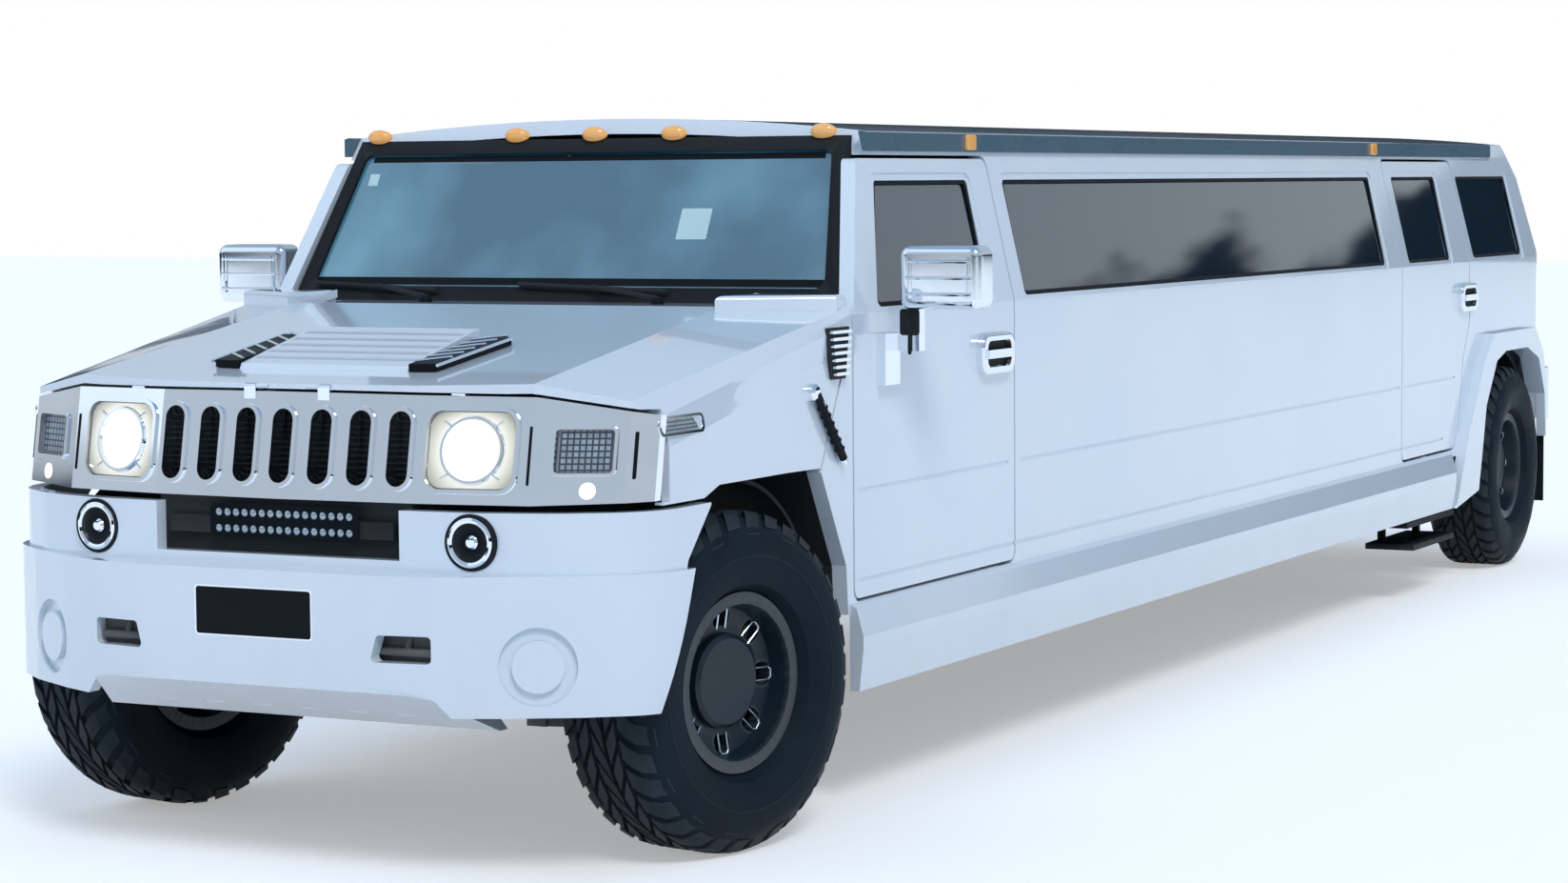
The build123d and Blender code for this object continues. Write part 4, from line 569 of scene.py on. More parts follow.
# %% Lamp materials
def glow_of(name, inner, outer, size, strength):
    """Light that is strongest in the middle of a face, and reaches its outer colour at size."""
    material = bpy.data.materials.new(name)
    material.use_nodes = True
    tree = material.node_tree
    shader = tree.nodes["Principled BSDF"]
    where = tree.nodes.new("ShaderNodeUVMap")
    spread = tree.nodes.new("ShaderNodeVectorMath")
    spread.operation = "LENGTH"
    ramp = tree.nodes.new("ShaderNodeValToRGB")
    ramp.color_ramp.elements[0].color = (*inner, 1)
    ramp.color_ramp.elements[1].color = (*outer, 1)
    ramp.color_ramp.elements[0].position = 0.50
    scale = tree.nodes.new("ShaderNodeMath")
    scale.operation = "DIVIDE"
    scale.inputs[1].default_value = size
    tree.links.new(where.outputs["UV"], spread.inputs[0])
    tree.links.new(spread.outputs["Value"], scale.inputs[0])
    tree.links.new(scale.outputs[0], ramp.inputs["Fac"])
    tree.links.new(ramp.outputs["Color"], shader.inputs["Emission Color"])
    shader.inputs["Base Color"].default_value = (0.35, 0.36, 0.34, 1)
    shader.inputs["Roughness"].default_value = 0.15
    shader.inputs["Coat Weight"].default_value = 1.0
    shader.inputs["Emission Strength"].default_value = strength
    return material


def grid_lens(name, colour, dark, cell):
    """A clear lens over a grid of prisms."""
    material = finish_of(name, colour, rough=(0.08, 0.15), Coat_Weight=1.0)
    tree = material.node_tree
    shader = tree.nodes["Principled BSDF"]
    where = tree.nodes.new("ShaderNodeUVMap")
    bricks = tree.nodes.new("ShaderNodeTexBrick")
    bricks.offset = 0.0
    bricks.inputs["Scale"].default_value = 1.0 / cell
    bricks.inputs["Mortar Size"].default_value = 0.16
    bricks.inputs["Brick Width"].default_value = 1.0
    bricks.inputs["Row Height"].default_value = 1.0
    bricks.inputs["Color1"].default_value = (*colour, 1)
    bricks.inputs["Color2"].default_value = (*[c * 0.75 for c in colour], 1)
    bricks.inputs["Mortar"].default_value = (*dark, 1)
    tree.links.new(where.outputs["UV"], bricks.inputs["Vector"])
    tree.links.new(bricks.outputs["Color"], shader.inputs["Base Color"])
    return material


def flat_uv(obj, frame_matrix):
    """Gives a flat piece UVs in metres from its own plane."""
    layer = obj.data.uv_layers.new(name="plane")
    inverse = frame_matrix.inverted()
    for loop in obj.data.loops:
        local = inverse @ obj.data.vertices[loop.vertex_index].co
        layer.data[loop.index].uv = (local.x, local.y)


head_glow = glow_of("head_glow", (1.0, 0.97, 0.86), (0.16, 0.14, 0.07), 0.135, 1.0)
bulb_glow = glow_of("bulb_glow", (1.0, 0.93, 0.75), (1.0, 0.75, 0.35), 0.03, 2.2)
corner_lens = grid_lens("corner_lens", (0.35, 0.42, 0.50), (0.03, 0.04, 0.05), 0.016)
marker_lens = grid_lens("marker_lens", (0.55, 0.60, 0.65), (0.10, 0.11, 0.12), 0.010)
amber_lens = finish_of("amber_lens", (0.85, 0.36, 0.06), (0.80, 0.42, 0.14), (0.15, 0.25), Coat_Weight=1.0,
                       Emission_Color=(1.0, 0.5, 0.15, 1), Emission_Strength=0.25)
led_glass = finish_of("led_glass", (0.35, 0.42, 0.48), rough=(0.05, 0.1), metallic=0.6, Coat_Weight=1.0)
plate_black = finish_of("plate_black", (0.002, 0.004, 0.006), rough=(0.45, 0.5), Specular_IOR_Level=0.15)
mirror_glass = finish_of("mirror_glass", (0.7, 0.75, 0.8), rough=(0.01, 0.02), metallic=1.0)
sticker = finish_of("sticker", (0.55, 0.75, 0.78), rough=(0.5, 0.6))
print("materials with the lamps:", len(bpy.data.materials))

# %% [markdown]
# The chrome face of the nose bends in plan and leans back. Its lamps could be turned and placed one by
# one. A function of the same bends sets each by its place across the car and its height, so all of
# them lie flat on the chrome.

# %% Nose pieces
NOSE_PLAN = ((0, -0.725), (0.400, -0.708), (0.715, -0.659), (0.930, -0.560), (0.985, -0.500))
LEAN, NOSE_FOOT = 0.18, 0.966
SLOT_Z, HEADLAMP_X, CORNER_LAMP_X = 1.102, 0.548, 0.834
LENS_SUNK = 0.0085
BULB_X, BULB_Z, NOSE_PROUD = 0.845, 1.003, 0.0005
RING_IN, RING_OUT = 0.088, (0.115, 0.105)
GRILLE_WIRES, WIRE_FOOT, WIRE_PITCH = 15, 0.998, 0.0155


def on_nose(x, z, proud=0.0):
    """A plane on the chrome face, on the left side."""
    for (x0, y0), (x1, y1) in zip(NOSE_PLAN, NOSE_PLAN[1:]):
        if x <= x1:
            break
    y = y0 + (y1 - y0) * (x - x0) / (x1 - x0) + LEAN * (z - NOSE_FOOT)
    matrix = plane_at((x, FA + y, z), (x1 - x0, y1 - y0, 0), (0, LEAN, 1))
    matrix.translation += matrix.col[2].to_3d() * proud
    return matrix


for side, flip in SIGNS:
    place = flip @ on_nose(HEADLAMP_X, SLOT_Z, -LENS_SUNK)
    bm = bmesh.new()
    add_plate(bm, rounded(0.237, 0.193, 0.039), place, 0.001)
    flat_uv(piece(f"headlamp_face_{side}", bm, head_glow, "chassis"), place)
    bm = bmesh.new()
    add_turned(bm, [(0.076, 0.001), (0.079, 0.010), (0.085, 0.010), (0.090, 0.001)], place)
    for turn in (45, 135, 225, 315):
        a = math.radians(turn)
        start = (RING_IN * math.cos(a), RING_IN * math.sin(a), 0.003)
        end = (RING_OUT[0] * math.cos(a), RING_OUT[1] * math.sin(a), 0.003)
        add_bar(bm, start, end, 0.003, matrix=place)
    piece(f"headlamp_ring_{side}", bm, chrome, "chassis")
    place = flip @ on_nose(CORNER_LAMP_X, SLOT_Z, -LENS_SUNK)
    bm = bmesh.new()
    add_plate(bm, rounded(0.133, 0.105, 0.009), place, 0.001)
    flat_uv(piece(f"corner_lens_{side}", bm, corner_lens, "chassis"), place)
    place = flip @ on_nose(BULB_X, BULB_Z, NOSE_PROUD)
    bm = bmesh.new()
    add_turned(bm, [(0, 0.004), (0.012, 0.0035), (0.020, 0.001), (0.021, 0)], place)
    flat_uv(piece(f"corner_bulb_{side}", bm, bulb_glow, "chassis"), place)
    bm = bmesh.new()
    add_plate(bm, rounded(0.007, 0.150, 0.003), flip @ on_nose(0.705, 1.09, NOSE_PROUD), 0.001)
    add_plate(bm, rounded(0.010, 0.120, 0.004), flip @ on_nose(0.945, 1.09, NOSE_PROUD), 0.001)
    piece(f"nose_slits_{side}", bm, plate_black, "chassis")

bm = bmesh.new()
add_plate(bm, rounded(0.86, 0.235, 0.01), front_face(0, FA - 0.622, 1.105), 0.004)
for i in range(GRILLE_WIRES):
    z = WIRE_FOOT + WIRE_PITCH * i
    add_bar(bm, (-0.43, FA - 0.628, z), (0.43, FA - 0.628, z), 0.003, 6)
piece("grille_mesh", bm, black_plastic, "chassis")
tell("nose")

# %% [markdown]
# The bumper carries fog lamps in chrome rings, a blank plate, a tow hook in each opening and a bar of
# small lamps. Rings and lamps are turned from a profile, which is how the real ones are shaped too.

# %% Bumper pieces
BUMPER_FACE = FA - 0.842
FOG_LAMP = (0.581, FA - 0.7225, 0.875)
HOOK_X, HOOK_Z, BACK_Y, HOOK_Y = 0.435, 0.600, FA - 0.775, FA - 0.792
BAR_ROWS, BAR_COLUMNS, BAR_PITCH = (-0.021, 0.021), 16, 0.027
for side, flip in SIGNS:
    place = flip @ plane_at(FOG_LAMP, (1, 0.065, 0), (0, 0, 1))
    bm = bmesh.new()
    ring = [(0.047, -0.006), (0.050, 0.006), (0.057, 0.009), (0.063, 0.006), (0.066, -0.004)]
    add_turned(bm, ring, place, 56)
    add_turned(bm, [(0, 0.004), (0.012, 0.003), (0.018, -0.004)], place)
    piece(f"fog_ring_{side}", bm, chrome, "chassis")
    bm = bmesh.new()
    add_turned(bm, [(0.0645, -0.002), (0.0645, 0.003), (0.072, 0.003), (0.074, -0.004)], place, 56)
    add_turned(bm, [(0.018, -0.0065), (0.049, -0.0065), (0.049, -0.004), (0.018, -0.004)], place, 56)
    piece(f"fog_bezel_{side}", bm, black_plastic, "chassis")
    bm = bmesh.new()
    add_plate(bm, rounded(0.200, 0.095, 0.01), flip @ front_face(HOOK_X, BACK_Y, 0.611), 0.004)
    add_bar(bm, (0.36, HOOK_Y, HOOK_Z), (0.51, HOOK_Y, HOOK_Z), 0.011, 14, flip)
    add_bar(bm, (HOOK_X, HOOK_Y, HOOK_Z), (HOOK_X, BACK_Y, 0.640), 0.009, 12, flip)
    piece(f"tow_hook_{side}", bm, frame_black, "chassis")

place = front_face(0, BUMPER_FACE + 0.0017, 0.685)
bm = bmesh.new()
add_plate(bm, rounded(0.354, 0.122, 0.008), place, 0.002)
piece("number_plate", bm, plate_black, "chassis")
bm = bmesh.new()
add_plate(bm, rounded(0.362, 0.130, 0.010), place, 0.002, rounded(0.354, 0.122, 0.008))
piece("plate_edge", bm, chrome, "chassis")

bar_place = front_face(0.015, FA - 0.7155, 0.905)
bm = bmesh.new()
add_plate(bm, rounded(0.460, 0.088, 0.014), bar_place, 0.006)
piece("light_bar_case", bm, black_plastic, "chassis", 0.001)
bm = bmesh.new()
for row in BAR_ROWS:
    for i in range(BAR_COLUMNS):
        across = (i - (BAR_COLUMNS - 1) / 2) * BAR_PITCH
        lamp = bar_place @ Matrix.Translation((across, row, 0.0055))
        add_turned(bm, [(0.0, 0.004), (0.006, 0.003), (0.0105, 0.0)], lamp, 14)
piece("light_bar_lamps", bm, led_glass, "chassis")
tell("bumper")

# %% [markdown]
# Along the fenders come a marker lamp, an air vent with chrome fins and the rubber catch that holds
# the bonnet down. The louvre on the bonnet has dark cheeks crossed by chrome bars. All of them lie on
# the bonnet's own panels and ride on it, because they lift with it.

# %% Bonnet and fender pieces
def bonnet_top(y):
    """Height of the bonnet's centre at y from the front axle."""
    return 1.246 + 0.216 * (y + 0.760) / 1.380


VENT_FOOT, VENT_FRONT, VENT_BACK, VENT_LEAN = 1.228, 0.500, 0.586, 0.062
STRAP_X, STRAP_RUN, STRAP_DROP = 1.000, 0.16, 0.185
for side, flip in SIGNS:
    place = flip @ plane_at((0.976, FA - 0.350, 1.156), (0.0, 1, 0), (-0.15, 0, 1))
    bm = bmesh.new()
    add_plate(bm, rounded(0.240, 0.052, 0.018), place, 0.009, rounded(0.214, 0.034, 0.012))
    piece(f"side_marker_frame_{side}", bm, chrome, "bonnet", 0.001)
    bm = bmesh.new()
    add_plate(bm, rounded(0.214, 0.034, 0.012), place, 0.006)
    flat_uv(piece(f"side_marker_lens_{side}", bm, marker_lens, "bonnet"), place)
    bm = bmesh.new()
    vent = [(VENT_FRONT, VENT_FOOT), (VENT_BACK, VENT_FOOT), (0.592, 1.372), (0.452, 1.372)]
    add_plate(bm, vent, flip @ plane_at((0.912, FA, 0), (0, 1, 0), (VENT_LEAN, 0, 1)), 0.006)
    piece(f"vent_back_{side}", bm, black_plastic, "bonnet")
    bm = bmesh.new()
    for i in range(7):
        z = 1.240 + 0.0195 * i
        x = 0.921 + VENT_LEAN * z
        start = VENT_FRONT - (z - VENT_FOOT) * 0.33 + 0.006
        fin = rounded(VENT_BACK - start, 0.009, 0.003)
        add_plate(bm, fin, flip @ side_face(x, FA + (start + VENT_BACK) / 2, z), 0.010)
    piece(f"vent_fins_{side}", bm, chrome, "bonnet")
    bm = bmesh.new()
    knob = [(0, 0.016), (0.016, 0.014), (0.023, 0.006), (0.024, -0.01)]
    add_turned(bm, knob, flip @ side_face(0.992, FA + 0.387, 1.197))
    add_bar(bm, (1.002, FA + 0.412, 1.172), (1.002, FA + 0.432, 1.150), 0.010, 12, flip)
    add_bar(bm, (0.998, FA + 0.548, 1.012), (0.998, FA + 0.566, 0.992), 0.010, 12, flip)
    piece(f"catch_metal_{side}", bm, chrome, "bonnet")
    bm = bmesh.new()
    add_bar(bm, (STRAP_X, FA + 0.395, 1.190), (STRAP_X, FA + 0.555, 1.005), 0.012, 12, flip)
    for i in range(6):
        t = 0.2 + 0.13 * i
        spot = (STRAP_X, FA + 0.395 + STRAP_RUN * t, 1.190 - STRAP_DROP * t)
        rib = flip @ plane_at(spot, (1, 0, 0), (0, STRAP_DROP, STRAP_RUN))
        add_turned(bm, [(0.012, -0.006), (0.016, 0), (0.012, 0.006)], rib, 14)
    piece(f"catch_strap_{side}", bm, rubber, "bonnet")
    bm = bmesh.new()
    slope = Vector((0, 1.380, 0.216)).normalized()
    cheek = plane_at((0, FA - 0.335, bonnet_top(-0.335) + 0.001), (1, 0, 0), slope)
    add_plate(bm, [(0.268, -0.178), (0.348, -0.170), (0.366, 0.182), (0.268, 0.176)], flip @ cheek, 0.022)
    piece(f"louvre_cheek_{side}", bm, plate_black, "bonnet", 0.003)
    bm = bmesh.new()
    for i in range(6):
        v = -0.150 + 0.056 * i
        add_bar(bm, (0.272, v, 0.0235), (0.350, v + 0.060, 0.0235), 0.0045, 8, flip @ cheek)
    add_bar(bm, (0.353, -0.172, 0.018), (0.367, 0.180, 0.018), 0.0045, 8, flip @ cheek)
    piece(f"louvre_trim_{side}", bm, chrome, "bonnet")
tell("bonnet and fenders")

# %% [markdown]
# Wipers rest at the foot of the windscreen. The screen also carries dark bands along its top and foot,
# two plain labels and the inside mirror. Bands and labels could be painted in a texture, but thin
# plates keep their edges sharp at any distance.

# %% Windscreen pieces
SCREEN_RUN = 0.51


def on_screen(x, z, proud=0.0):
    """A plane on the windscreen."""
    matrix = plane_at((x, FA + 0.690 + SCREEN_RUN * (z - 1.425) + 0.014, z), (1, 0, 0), (0, SCREEN_RUN, 1))
    matrix.translation += matrix.col[2].to_3d() * proud
    return matrix


bm = bmesh.new()
for pivot, tip in ((-0.391, -0.840), (0.391, -0.130)):
    add_turned(bm, [(0, 0.022), (0.014, 0.020), (0.020, 0.0)], Matrix.Translation((pivot, FA + 0.600, 1.425)))
    add_bar(bm, (pivot, FA + 0.600, 1.442), ((pivot + tip) / 2, FA + 0.684, 1.470), 0.007)
    add_bar(bm, (pivot - 0.02, FA + 0.690, 1.458), (tip, FA + 0.700, 1.476), 0.0065)
    add_bar(bm, (pivot - 0.02, FA + 0.698, 1.450), (tip, FA + 0.708, 1.468), 0.004)
piece("wipers", bm, black_plastic, "chassis")
bm = bmesh.new()
add_plate(bm, [(-0.775, 0.022), (0.775, 0.022), (0.772, 0.040), (-0.772, 0.040)], on_screen(0, 1.818), 0.001)
foot_band = [(-0.865, -0.012), (0.865, -0.012), (0.862, 0.012), (-0.862, 0.012)]
add_plate(bm, foot_band, on_screen(0, 1.482), 0.001)
piece("screen_bands", bm, plate_black, "chassis")
bm = bmesh.new()
add_plate(bm, rounded(0.034, 0.040, 0.003), on_screen(-0.755, 1.785), 0.001)
add_plate(bm, rounded(0.100, 0.100, 0.004), on_screen(0.395, 1.650), 0.001)
piece("screen_labels", bm, sticker, "chassis")
bm = bmesh.new()
mirror_place = plane_at((-0.08, FA + 0.955, 1.785), (1, 0, 0), (0, 0.1, 1))
add_plate(bm, rounded(0.250, 0.065, 0.028), mirror_place, 0.02)
add_bar(bm, (-0.08, FA + 0.955, 1.80), (-0.08, FA + 0.918, 1.862), 0.008)
piece("inside_mirror", bm, black_plastic, "chassis", 0.004)
tell("windscreen")

# %% [markdown]
# Five domed amber lamps stand over the windscreen, and two flat ones sit on each roof rail. A sphere
# would hide half of itself in the roof, so each dome is a turned quarter circle, stretched on its plane.

# %% Roof markers
def dome(bm, where, length, width, height):
    """A flattened dome standing on a plane."""
    profile = [(math.sin(math.radians(a)), math.cos(math.radians(a))) for a in range(0, 91, 15)]
    add_turned(bm, profile, where @ Matrix.Diagonal((length / 2, width / 2, height, 1)), 24)


bm = bmesh.new()
for x in (-0.760, -0.269, 0, 0.269, 0.760):
    dome(bm, plane_at((x, FA + 0.936, 1.913), (1, 0, 0), (0, 0.6, 0.8)), 0.085, 0.045, 0.030)
piece("roof_markers", bm, amber_lens, "chassis")
bm = bmesh.new()
for _, flip in SIGNS:
    for y in (1.668, 5.758):
        add_plate(bm, rounded(0.060, 0.046, 0.008), flip @ side_face(0.893, FA + y, 1.886), 0.012)
piece("rail_markers", bm, amber_lens, "chassis", 0.002)
tell("roof")

# %% [markdown]
# Black rubber runs round every side window. Each seal could be drawn by hand, but the panes are the
# CAD model's own, so each seal follows the convex outline of its pane, read from the CAD glass.

# %% Window seals
def hull(points):
    """The convex outline of flat points."""
    points = sorted(set(points))

    def half(sequence):
        chain = []
        for p in sequence:
            while len(chain) > 1 and ((chain[-1][0] - chain[-2][0]) * (p[1] - chain[-2][1])
                                      - (chain[-1][1] - chain[-2][1]) * (p[0] - chain[-2][0])) <= 1e-9:
                chain.pop()
            chain.append(p)
        return chain[:-1]

    return half(points) + half(points[::-1])


def seal(name, node, body, keep, width=0.012):
    """A rubber frame round the pane of a node, whose vertices keep says belong to it."""
    spots = [v.co for v in NODES[node].data.vertices if keep(v.co)]
    sign = 1 if spots[0].x > 0 else -1
    top = max(v.z for v in spots)
    foot = min(v.z for v in spots)
    out_low = max(abs(v.x) for v in spots if v.z < foot + 0.03)
    out_high = max(abs(v.x) for v in spots if v.z > top - 0.02)
    place = plane_at((out_low, 0, foot), (0, 1, 0), (out_high - out_low, 0, top - foot))
    stretch = math.hypot(out_high - out_low, top - foot) / (top - foot)
    outline = hull([(round(v.y, 4), round((v.z - foot) * stretch, 4)) for v in spots])
    cy = sum(p[0] for p in (min(outline), max(outline))) / 2
    cz = (top - foot) * stretch / 2
    half_y = max(p[0] for p in outline) - cy
    inner = [(cy + (p[0] - cy) * (1 - width / half_y), cz + (p[1] - cz) * (1 - width / cz)) for p in outline]
    bm = bmesh.new()
    flip = Matrix.Identity(4) if sign > 0 else MIRROR
    add_plate(bm, outline, flip @ place, 0.004, inner)
    return piece(name, bm, rubber, body)


for side, sign in (("left", 1), ("right", -1)):
    seal(f"front_door_seal_{side}", f"front_door_glass_{side}", f"front_door_{side}", lambda v: True)
    seal(f"rear_door_seal_{side}", f"rear_door_glass_{side}", f"rear_door_{side}", lambda v: True)
    seal(f"long_window_seal_{side}", "fixed_glass", "chassis",
         lambda v, s=sign: v.x * s > 0.85 and FA + 1.85 < v.y < RA - 1.5)
    seal(f"quarter_window_seal_{side}", "fixed_glass", "chassis",
         lambda v, s=sign: v.x * s > 0.85 and v.y > RA - 0.7)
tell("seals")

# %% [markdown]
# The door mirrors carry chrome bars, a glass and a cover on the arm, and the handles sit in dark
# recesses. They ride on the doors, so a door takes its mirror and recess along when it swings open.

# %% Mirrors and handles
for side, flip in SIGNS:
    bm = bmesh.new()
    for z in (1.452, 1.498, 1.544):
        add_bar(bm, (1.075, FA + 0.811, z), (1.275, FA + 0.811, z), 0.0055, 10, flip)
    for x in (1.085, 1.265):
        add_bar(bm, (x, FA + 0.813, 1.44), (x, FA + 0.813, 1.556), 0.0055, 10, flip)
    piece(f"mirror_bars_{side}", bm, chrome, f"front_door_{side}")
    bm = bmesh.new()
    glass_place = flip @ plane_at((1.1745, FA + 0.9045, 1.498), (-1, 0, 0), (0, 0, 1))
    add_plate(bm, rounded(0.215, 0.145, 0.022), glass_place, 0.003)
    piece(f"mirror_glass_{side}", bm, mirror_glass, f"front_door_{side}")
    bm = bmesh.new()
    add_plate(bm, rounded(0.010, 0.130, 0.004), flip @ front_face(1.073, FA + 0.8405, 1.345), 0.004)
    add_plate(bm, rounded(0.060, 0.075, 0.010), flip @ front_face(1.073, FA + 0.8415, 1.372), 0.004)
    piece(f"mirror_arm_cover_{side}", bm, black_plastic, f"front_door_{side}")
    for door, y in (("front_door", FA + 1.628), ("rear_door", RA - 0.705)):
        bm = bmesh.new()
        add_plate(bm, rounded(0.176, 0.076, 0.022), flip @ side_face(0.9895, y, 1.246), 0.003)
        piece(f"{door}_handle_recess_{side}", bm, plate_black, f"{door}_{side}")
tell("mirrors and handles")

# %% [markdown]
# The tyres wear an all-terrain tread. Bump could draw it, but the blocks show against the sky at the
# tyre's edge. Each tyre replaces its plain CAD ring with a carcass whose tread floor lies deeper, and
# with staggered blocks that reach half a millimetre short of the same outer radius.

# %% Tyres
TYRE_R, TREAD_DEPTH = 0.455, 0.013
BLOCKS, BLOCK_HALF, TREAD_TOP = 34, 0.017, TYRE_R - 0.0005
CARCASS = [(0.104, 0.2163), (0.104, 0.244), (0.138, 0.262), (0.151, 0.290), (0.1565, 0.330), (0.157, 0.345),
           (0.154, 0.380), (0.145, 0.405), (0.122, 0.432), (0.090, TYRE_R - TREAD_DEPTH)]
JOINTS = frame["record"]["behaviour"]["joints"]
ROLLS = {j["child"]: Vector(j["axis"]) for j in JOINTS if j["child"].startswith("wheel")}


def wheel_plane(wheel):
    """A plane in the middle of a wheel, whose local Z is its axle and points outward."""
    centre = middle(f"tyre_{wheel}")
    out_of = ROLLS[f"wheel_{wheel}"].normalized()
    if out_of.x * centre.x < 0:
        out_of = -out_of
    up = Vector((0, 0, 1))
    return plane_at(centre, up.cross(out_of), up)


def add_lug(bm, where, section, start, width, skew):
    """A tread block: a section of (across, radius) points swept through an angle."""
    ends = []
    for angle in (start, start + width):
        ring = []
        for n, r in section:
            a = angle + skew * n
            ring.append(bm.verts.new(where @ Vector((r * math.cos(a), r * math.sin(a), n))))
        ends.append(ring)
    count = len(section)
    for i in range(count):
        j = (i + 1) % count
        bm.faces.new((ends[0][i], ends[0][j], ends[1][j], ends[1][i]))
    bm.faces.new(ends[0])
    bm.faces.new(ends[1][::-1])


tyre_stuff = finish_of("tyre_rubber", (0.004, 0.009, 0.015), (0.009, 0.018, 0.027), (0.5, 0.68), scale=7,
                       grain=0.5, wear=0.1, Specular_IOR_Level=0.12)
rim_stuff = finish_of("rim_black", (0.005, 0.012, 0.020), (0.008, 0.018, 0.028), (0.28, 0.42), scale=5,
                      wear=0.4, Specular_IOR_Level=0.35)
# Pale metal for the raised loops on the rim spokes: painted highlight where the black rim catches the light.
rim_highlight_paint = finish_of("rim_highlight_paint", (0.55, 0.66, 0.76), rough=(0.15, 0.25), metallic=0.9)
disc_steel = finish_of("disc_steel", (0.10, 0.11, 0.12), (0.06, 0.055, 0.05), (0.35, 0.55), metallic=0.8,
                       scale=30)
TREAD_PITCH = 2 * math.pi / BLOCKS
# Each row of blocks: place across the tread, shift in pitches, skew, and length in pitches.
ROWS = ((0, 0.5, 5.0, 0.74), (0.047, 0.0, -4.0, 0.70), (-0.047, 0.0, -4.0, 0.70))
for wheel in ("front_left", "front_right", "rear_left", "rear_right"):
    where = wheel_plane(wheel)
    half = [(r, n) for n, r in CARCASS]
    bm = bmesh.new()
    add_turned(bm, half + [(r, -n) for r, n in half[::-1]], where, 84)
    floor_r = TYRE_R - TREAD_DEPTH - 0.003
    for i in range(BLOCKS):
        a = TREAD_PITCH * i
        for n, shift, skew, size in ROWS:
            low_n, high_n = n - BLOCK_HALF, n + BLOCK_HALF
            block = [(low_n, floor_r), (low_n, TREAD_TOP), (high_n, TREAD_TOP), (high_n, floor_r)]
            add_lug(bm, where, block, a + shift * TREAD_PITCH, TREAD_PITCH * size, skew)
        for s in (-1, 1):
            long_one = i % 2 == 0
            tip = (0.150, 0.394) if long_one else (0.141, 0.415)
            shoulder = [(0.074, floor_r), (0.076, TREAD_TOP), (0.100, TYRE_R - 0.003),
                        (0.121, TYRE_R - 0.012), tip, (tip[0] - 0.010, tip[1] - 0.004), (0.110, 0.430)]
            sided = [(s * n, r) for n, r in shoulder]
            add_lug(bm, where, sided, a + 0.35 * TREAD_PITCH, TREAD_PITCH * 0.66, s * 2.0)
    for n in (0.1545, 0.1575):
        add_turned(bm, [(0.334, n - 0.004), (0.335, n), (0.341, n), (0.342, n - 0.004)], where, 84)
    tyre = piece(f"tread_{wheel}", bm, tyre_stuff, f"wheel_{wheel}")
    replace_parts(tyre, f"tyre_{wheel}")
    NODES[f"rim_{wheel}"].data.materials[0] = rim_stuff
    # The raised U-shaped loops on each spoke are the rim's own shape. Their pale colour is a painted
    # highlight.
    bm = bmesh.new()
    for i in range(8):
        spoke = where @ Matrix.Rotation(math.radians(45 * i), 4, "Z")
        loop = [(0.139, -0.017), (0.186, -0.017), (0.195, -0.010),
                (0.195, 0.010), (0.186, 0.017), (0.139, 0.017)]
        for (r0, t0), (r1, t1) in zip(loop, loop[1:]):
            ends = [(r, t, 0.046 + max(0.0, r - 0.150) * 0.23) for r, t in ((r0, t0), (r1, t1))]
            add_bar(bm, *ends, 0.0026, 8, spoke)
    piece(f"rim_painted_highlights_{wheel}", bm, rim_highlight_paint, f"wheel_{wheel}")
    bm = bmesh.new()
    add_turned(bm, [(0.070, -0.030), (0.070, -0.010), (0.185, -0.010), (0.185, -0.030)], where, 48)
    piece(f"brake_disc_{wheel}", bm, disc_steel, f"wheel_{wheel}")
tell("wheels")

# %% [markdown]
# Air passes between the slats of the louvre, and the gaps read as dark lines. They could be left to shadow,
# but the white paint throws light into them, so a thin black plate of painted shade stands in each gap.

# %% Painted shade in the gaps between the louvre slats
def slat_top(y):
    """Height of the louvre's upper face at y, which rises faster than the bonnet."""
    return bonnet_top(y) + 0.016 + 0.028 * (y + 0.502) / 0.342


LOUVRE_PITCH, GAP = 0.0564, 0.0237
bm = bmesh.new()
for i in range(5):
    y = -0.458 + LOUVRE_PITCH * i + GAP
    low, high = bonnet_top(y - GAP) + 0.002, slat_top(y) - 0.009
    gap = plane_at((0, FA + y - 0.0012, (low + high) / 2), (1, 0, 0), (0, 0, 1))
    add_plate(bm, rounded(0.500, high - low, 0.002), gap, 0.001)
# The black plates are painted shade in the gaps between the slats.
piece("louvre_gap_shade", bm, plate_black, "bonnet")
tell("louvre")

# %% [markdown]
# The tail has a blank plate in a chrome edge, with a pull handle above it. They lie on the leaning
# tailgate and ride on it. The photograph doesn't show them, so they are kept plain.

# %% Tail pieces
tail = plane_at((0, RA + 0.5910, 1.100), (-1, 0, 0), (0, -0.236, 0.972))
bm = bmesh.new()
add_plate(bm, rounded(0.360, 0.128, 0.008), tail, 0.003)
piece("rear_plate", bm, plate_black, "tailgate")
bm = bmesh.new()
add_plate(bm, rounded(0.372, 0.140, 0.012), tail, 0.002, rounded(0.360, 0.128, 0.008))
high = tail @ Matrix.Translation((0, 0.135, 0))
add_plate(bm, rounded(0.300, 0.040, 0.018), high, 0.022)
piece("tailgate_handle", bm, chrome, "tailgate", 0.003)
tell("tail")

# %% [markdown]
# Seats are padded pieces with crowned tops, drawn-in sides and sewn channels. A cloth simulation could
# fill them out. Here each pad is a cube pushed to that shape by a formula, which is quick and gives
# the same pad every time. They take the room of the plain CAD seats, which they replace, and stand on
# hard plinths.

# %% Seats
stitched = finish_of("stitched_leather", (0.030, 0.031, 0.035), (0.020, 0.021, 0.024), (0.36, 0.5), scale=6,
                     grain=0.7, grain_scale=160)
GROOVE_WIDTH, GROOVE_DEPTH, DRAWN_IN = 0.008, 0.10, 0.02


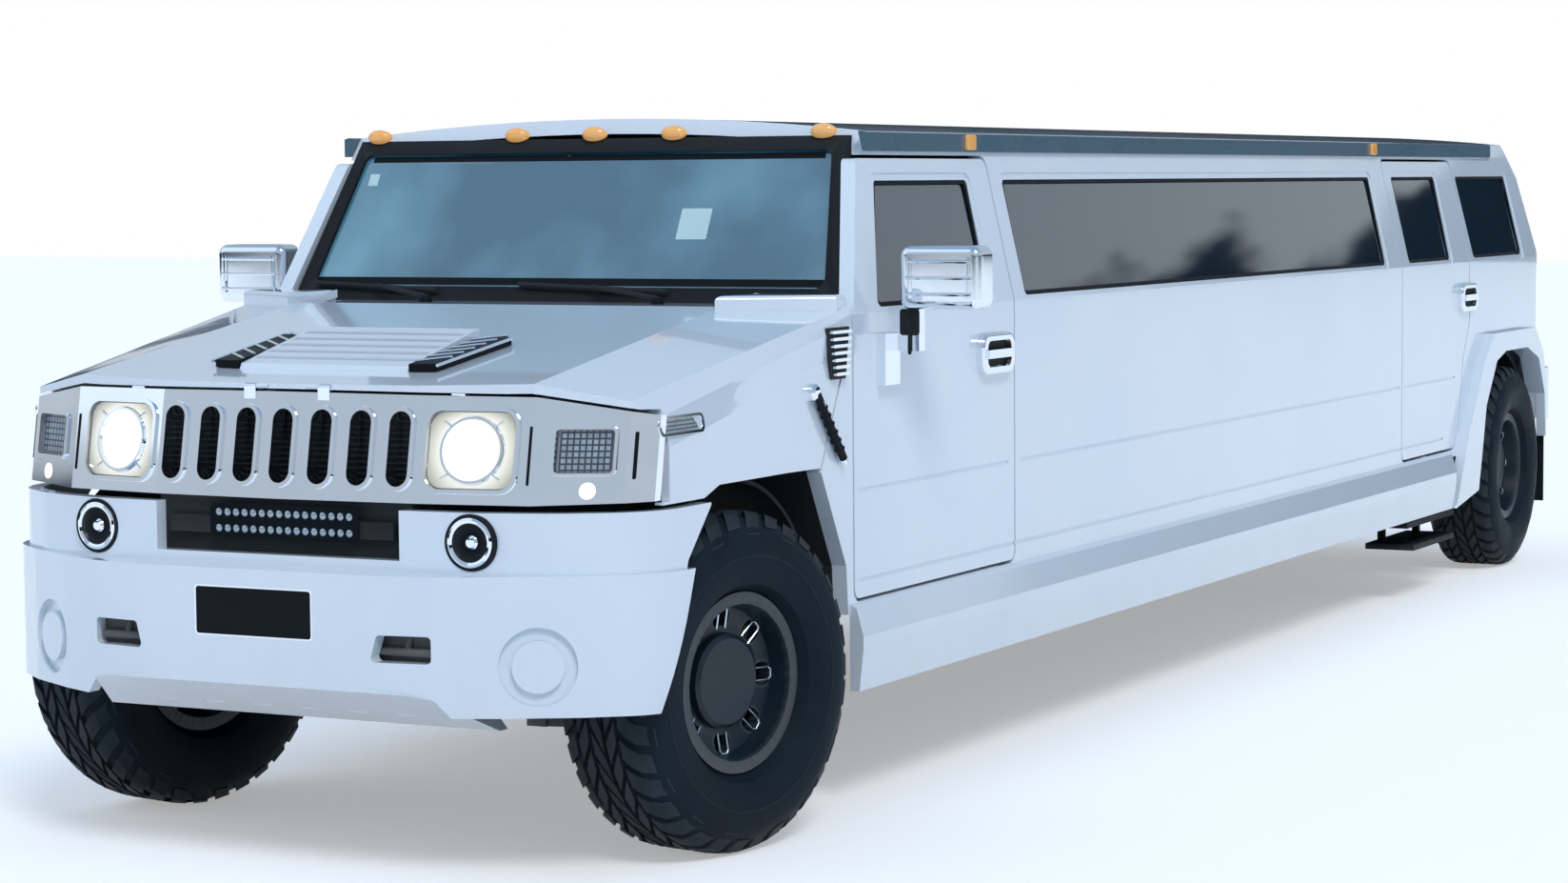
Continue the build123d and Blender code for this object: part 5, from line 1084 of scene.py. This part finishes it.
def cushion(name, low, high, body, node, channels, lean=0.0):
    """A crowned pad between two corners, with channels across it. A back leans by lean."""
    low, high = Vector(low), Vector(high)
    centre, half = (low + high) / 2, (high - low) / 2
    upright = half.z > half.y
    bm = bmesh.new()
    bmesh.ops.create_cube(bm, size=2.0)
    bmesh.ops.subdivide_edges(bm, edges=bm.edges, cuts=23, use_grid_fill=True)
    for v in bm.verts:
        x, y, z = v.co
        soft = max(abs(x), abs(y), abs(z)) / (abs(x) ** 7 + abs(y) ** 7 + abs(z) ** 7) ** (1 / 7)
        x, y, z = x * soft, y * soft, z * soft
        a, b = (x, z) if upright else (x, y)
        crown = (1 - a * a) * (1 - b * b)
        reach = half.z if upright else half.y
        seams = [2 * (i + 1) / (channels + 1) - 1 for i in range(channels)]
        groove = sum(math.exp(-(((b - seam) * reach) / GROOVE_WIDTH) ** 2) for seam in seams)
        thick = (0.90 + 0.10 * crown) - GROOVE_DEPTH * groove
        x *= 1 - DRAWN_IN * (1 - b * b)
        if upright:
            v.co = (x * half.x, y * half.y * thick, z * half.z)
            v.co.y += lean * v.co.z
        else:
            v.co = (x * half.x, y * half.y * (1 - DRAWN_IN * (1 - x * x)), z * half.z * thick)
        v.co += centre
    obj = piece(name, bm, stitched, body)
    obj.modifiers.new("round", "SUBSURF").render_levels = 1
    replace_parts(obj, node)
    return obj


def plinth(name, boxes, node):
    """Hard bases under the pads."""
    bm = bmesh.new()
    for x0, x1, y0, y1, z0, z1 in boxes:
        add_plate(bm, [(x0, y0), (x1, y0), (x1, y1), (x0, y1)], Matrix.Translation((0, 0, z0)), z1 - z0)
    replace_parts(piece(name, bm, trim_grey, "chassis", 0.006), node)


FLOOR = 0.650
PAD_FOOT, PAD_TOP, BACK_FOOT = 0.900, 1.048, 1.052
for side, x in (("left", 0.42), ("right", -0.42)):
    cushion(f"front_seat_pad_{side}", (x - 0.245, FA + 1.185, 0.880), (x + 0.245, FA + 1.655, 1.018),
            "chassis", "front_seats", 3)
    cushion(f"front_seat_back_{side}", (x - 0.235, FA + 1.590, 1.025), (x + 0.235, FA + 1.690, 1.550),
            "chassis", "front_seats", 4, 0.17)
front_bases = [(x - 0.22, x + 0.22, FA + 1.22, FA + 1.63, FLOOR + 0.001, 0.884) for x in (-0.42, 0.42)]
plinth("front_seat_bases", front_bases, "front_seats")
BENCH_FRONT, BENCH_REAR = FA + 2.400, RA - 0.640
SEATS, SEAT_GAP = 5, 0.006
step = (BENCH_REAR - BENCH_FRONT) / SEATS
for i in range(SEATS):
    y0, y1 = BENCH_FRONT + i * step + SEAT_GAP, BENCH_FRONT + (i + 1) * step - SEAT_GAP
    cushion(f"bench_pad_{i + 1}", (-0.735, y0, PAD_FOOT), (-0.355, y1, PAD_TOP), "chassis", "lounge_seats", 4)
    cushion(f"bench_back_{i + 1}", (-0.895, y0, BACK_FOOT), (-0.745, y1, 1.395), "chassis", "lounge_seats", 0)
for side, x in (("left", 0.325), ("right", -0.325)):
    cushion(f"rear_pad_{side}", (x - 0.32, RA - 0.635, PAD_FOOT), (x + 0.32, RA - 0.165, PAD_TOP),
            "chassis", "lounge_seats", 3)
    cushion(f"rear_back_{side}", (x - 0.32, RA - 0.155, BACK_FOOT), (x + 0.32, RA - 0.005, 1.445),
            "chassis", "lounge_seats", 3)
bench_bases = [(-0.890, -0.370, BENCH_FRONT + 0.01, BENCH_REAR - 0.01, FLOOR + 0.001, 0.905),
               (-0.650, 0.650, RA - 0.620, RA - 0.005, FLOOR + 0.001, 0.905)]
plinth("bench_bases", bench_bases, "lounge_seats")
tell("seats")
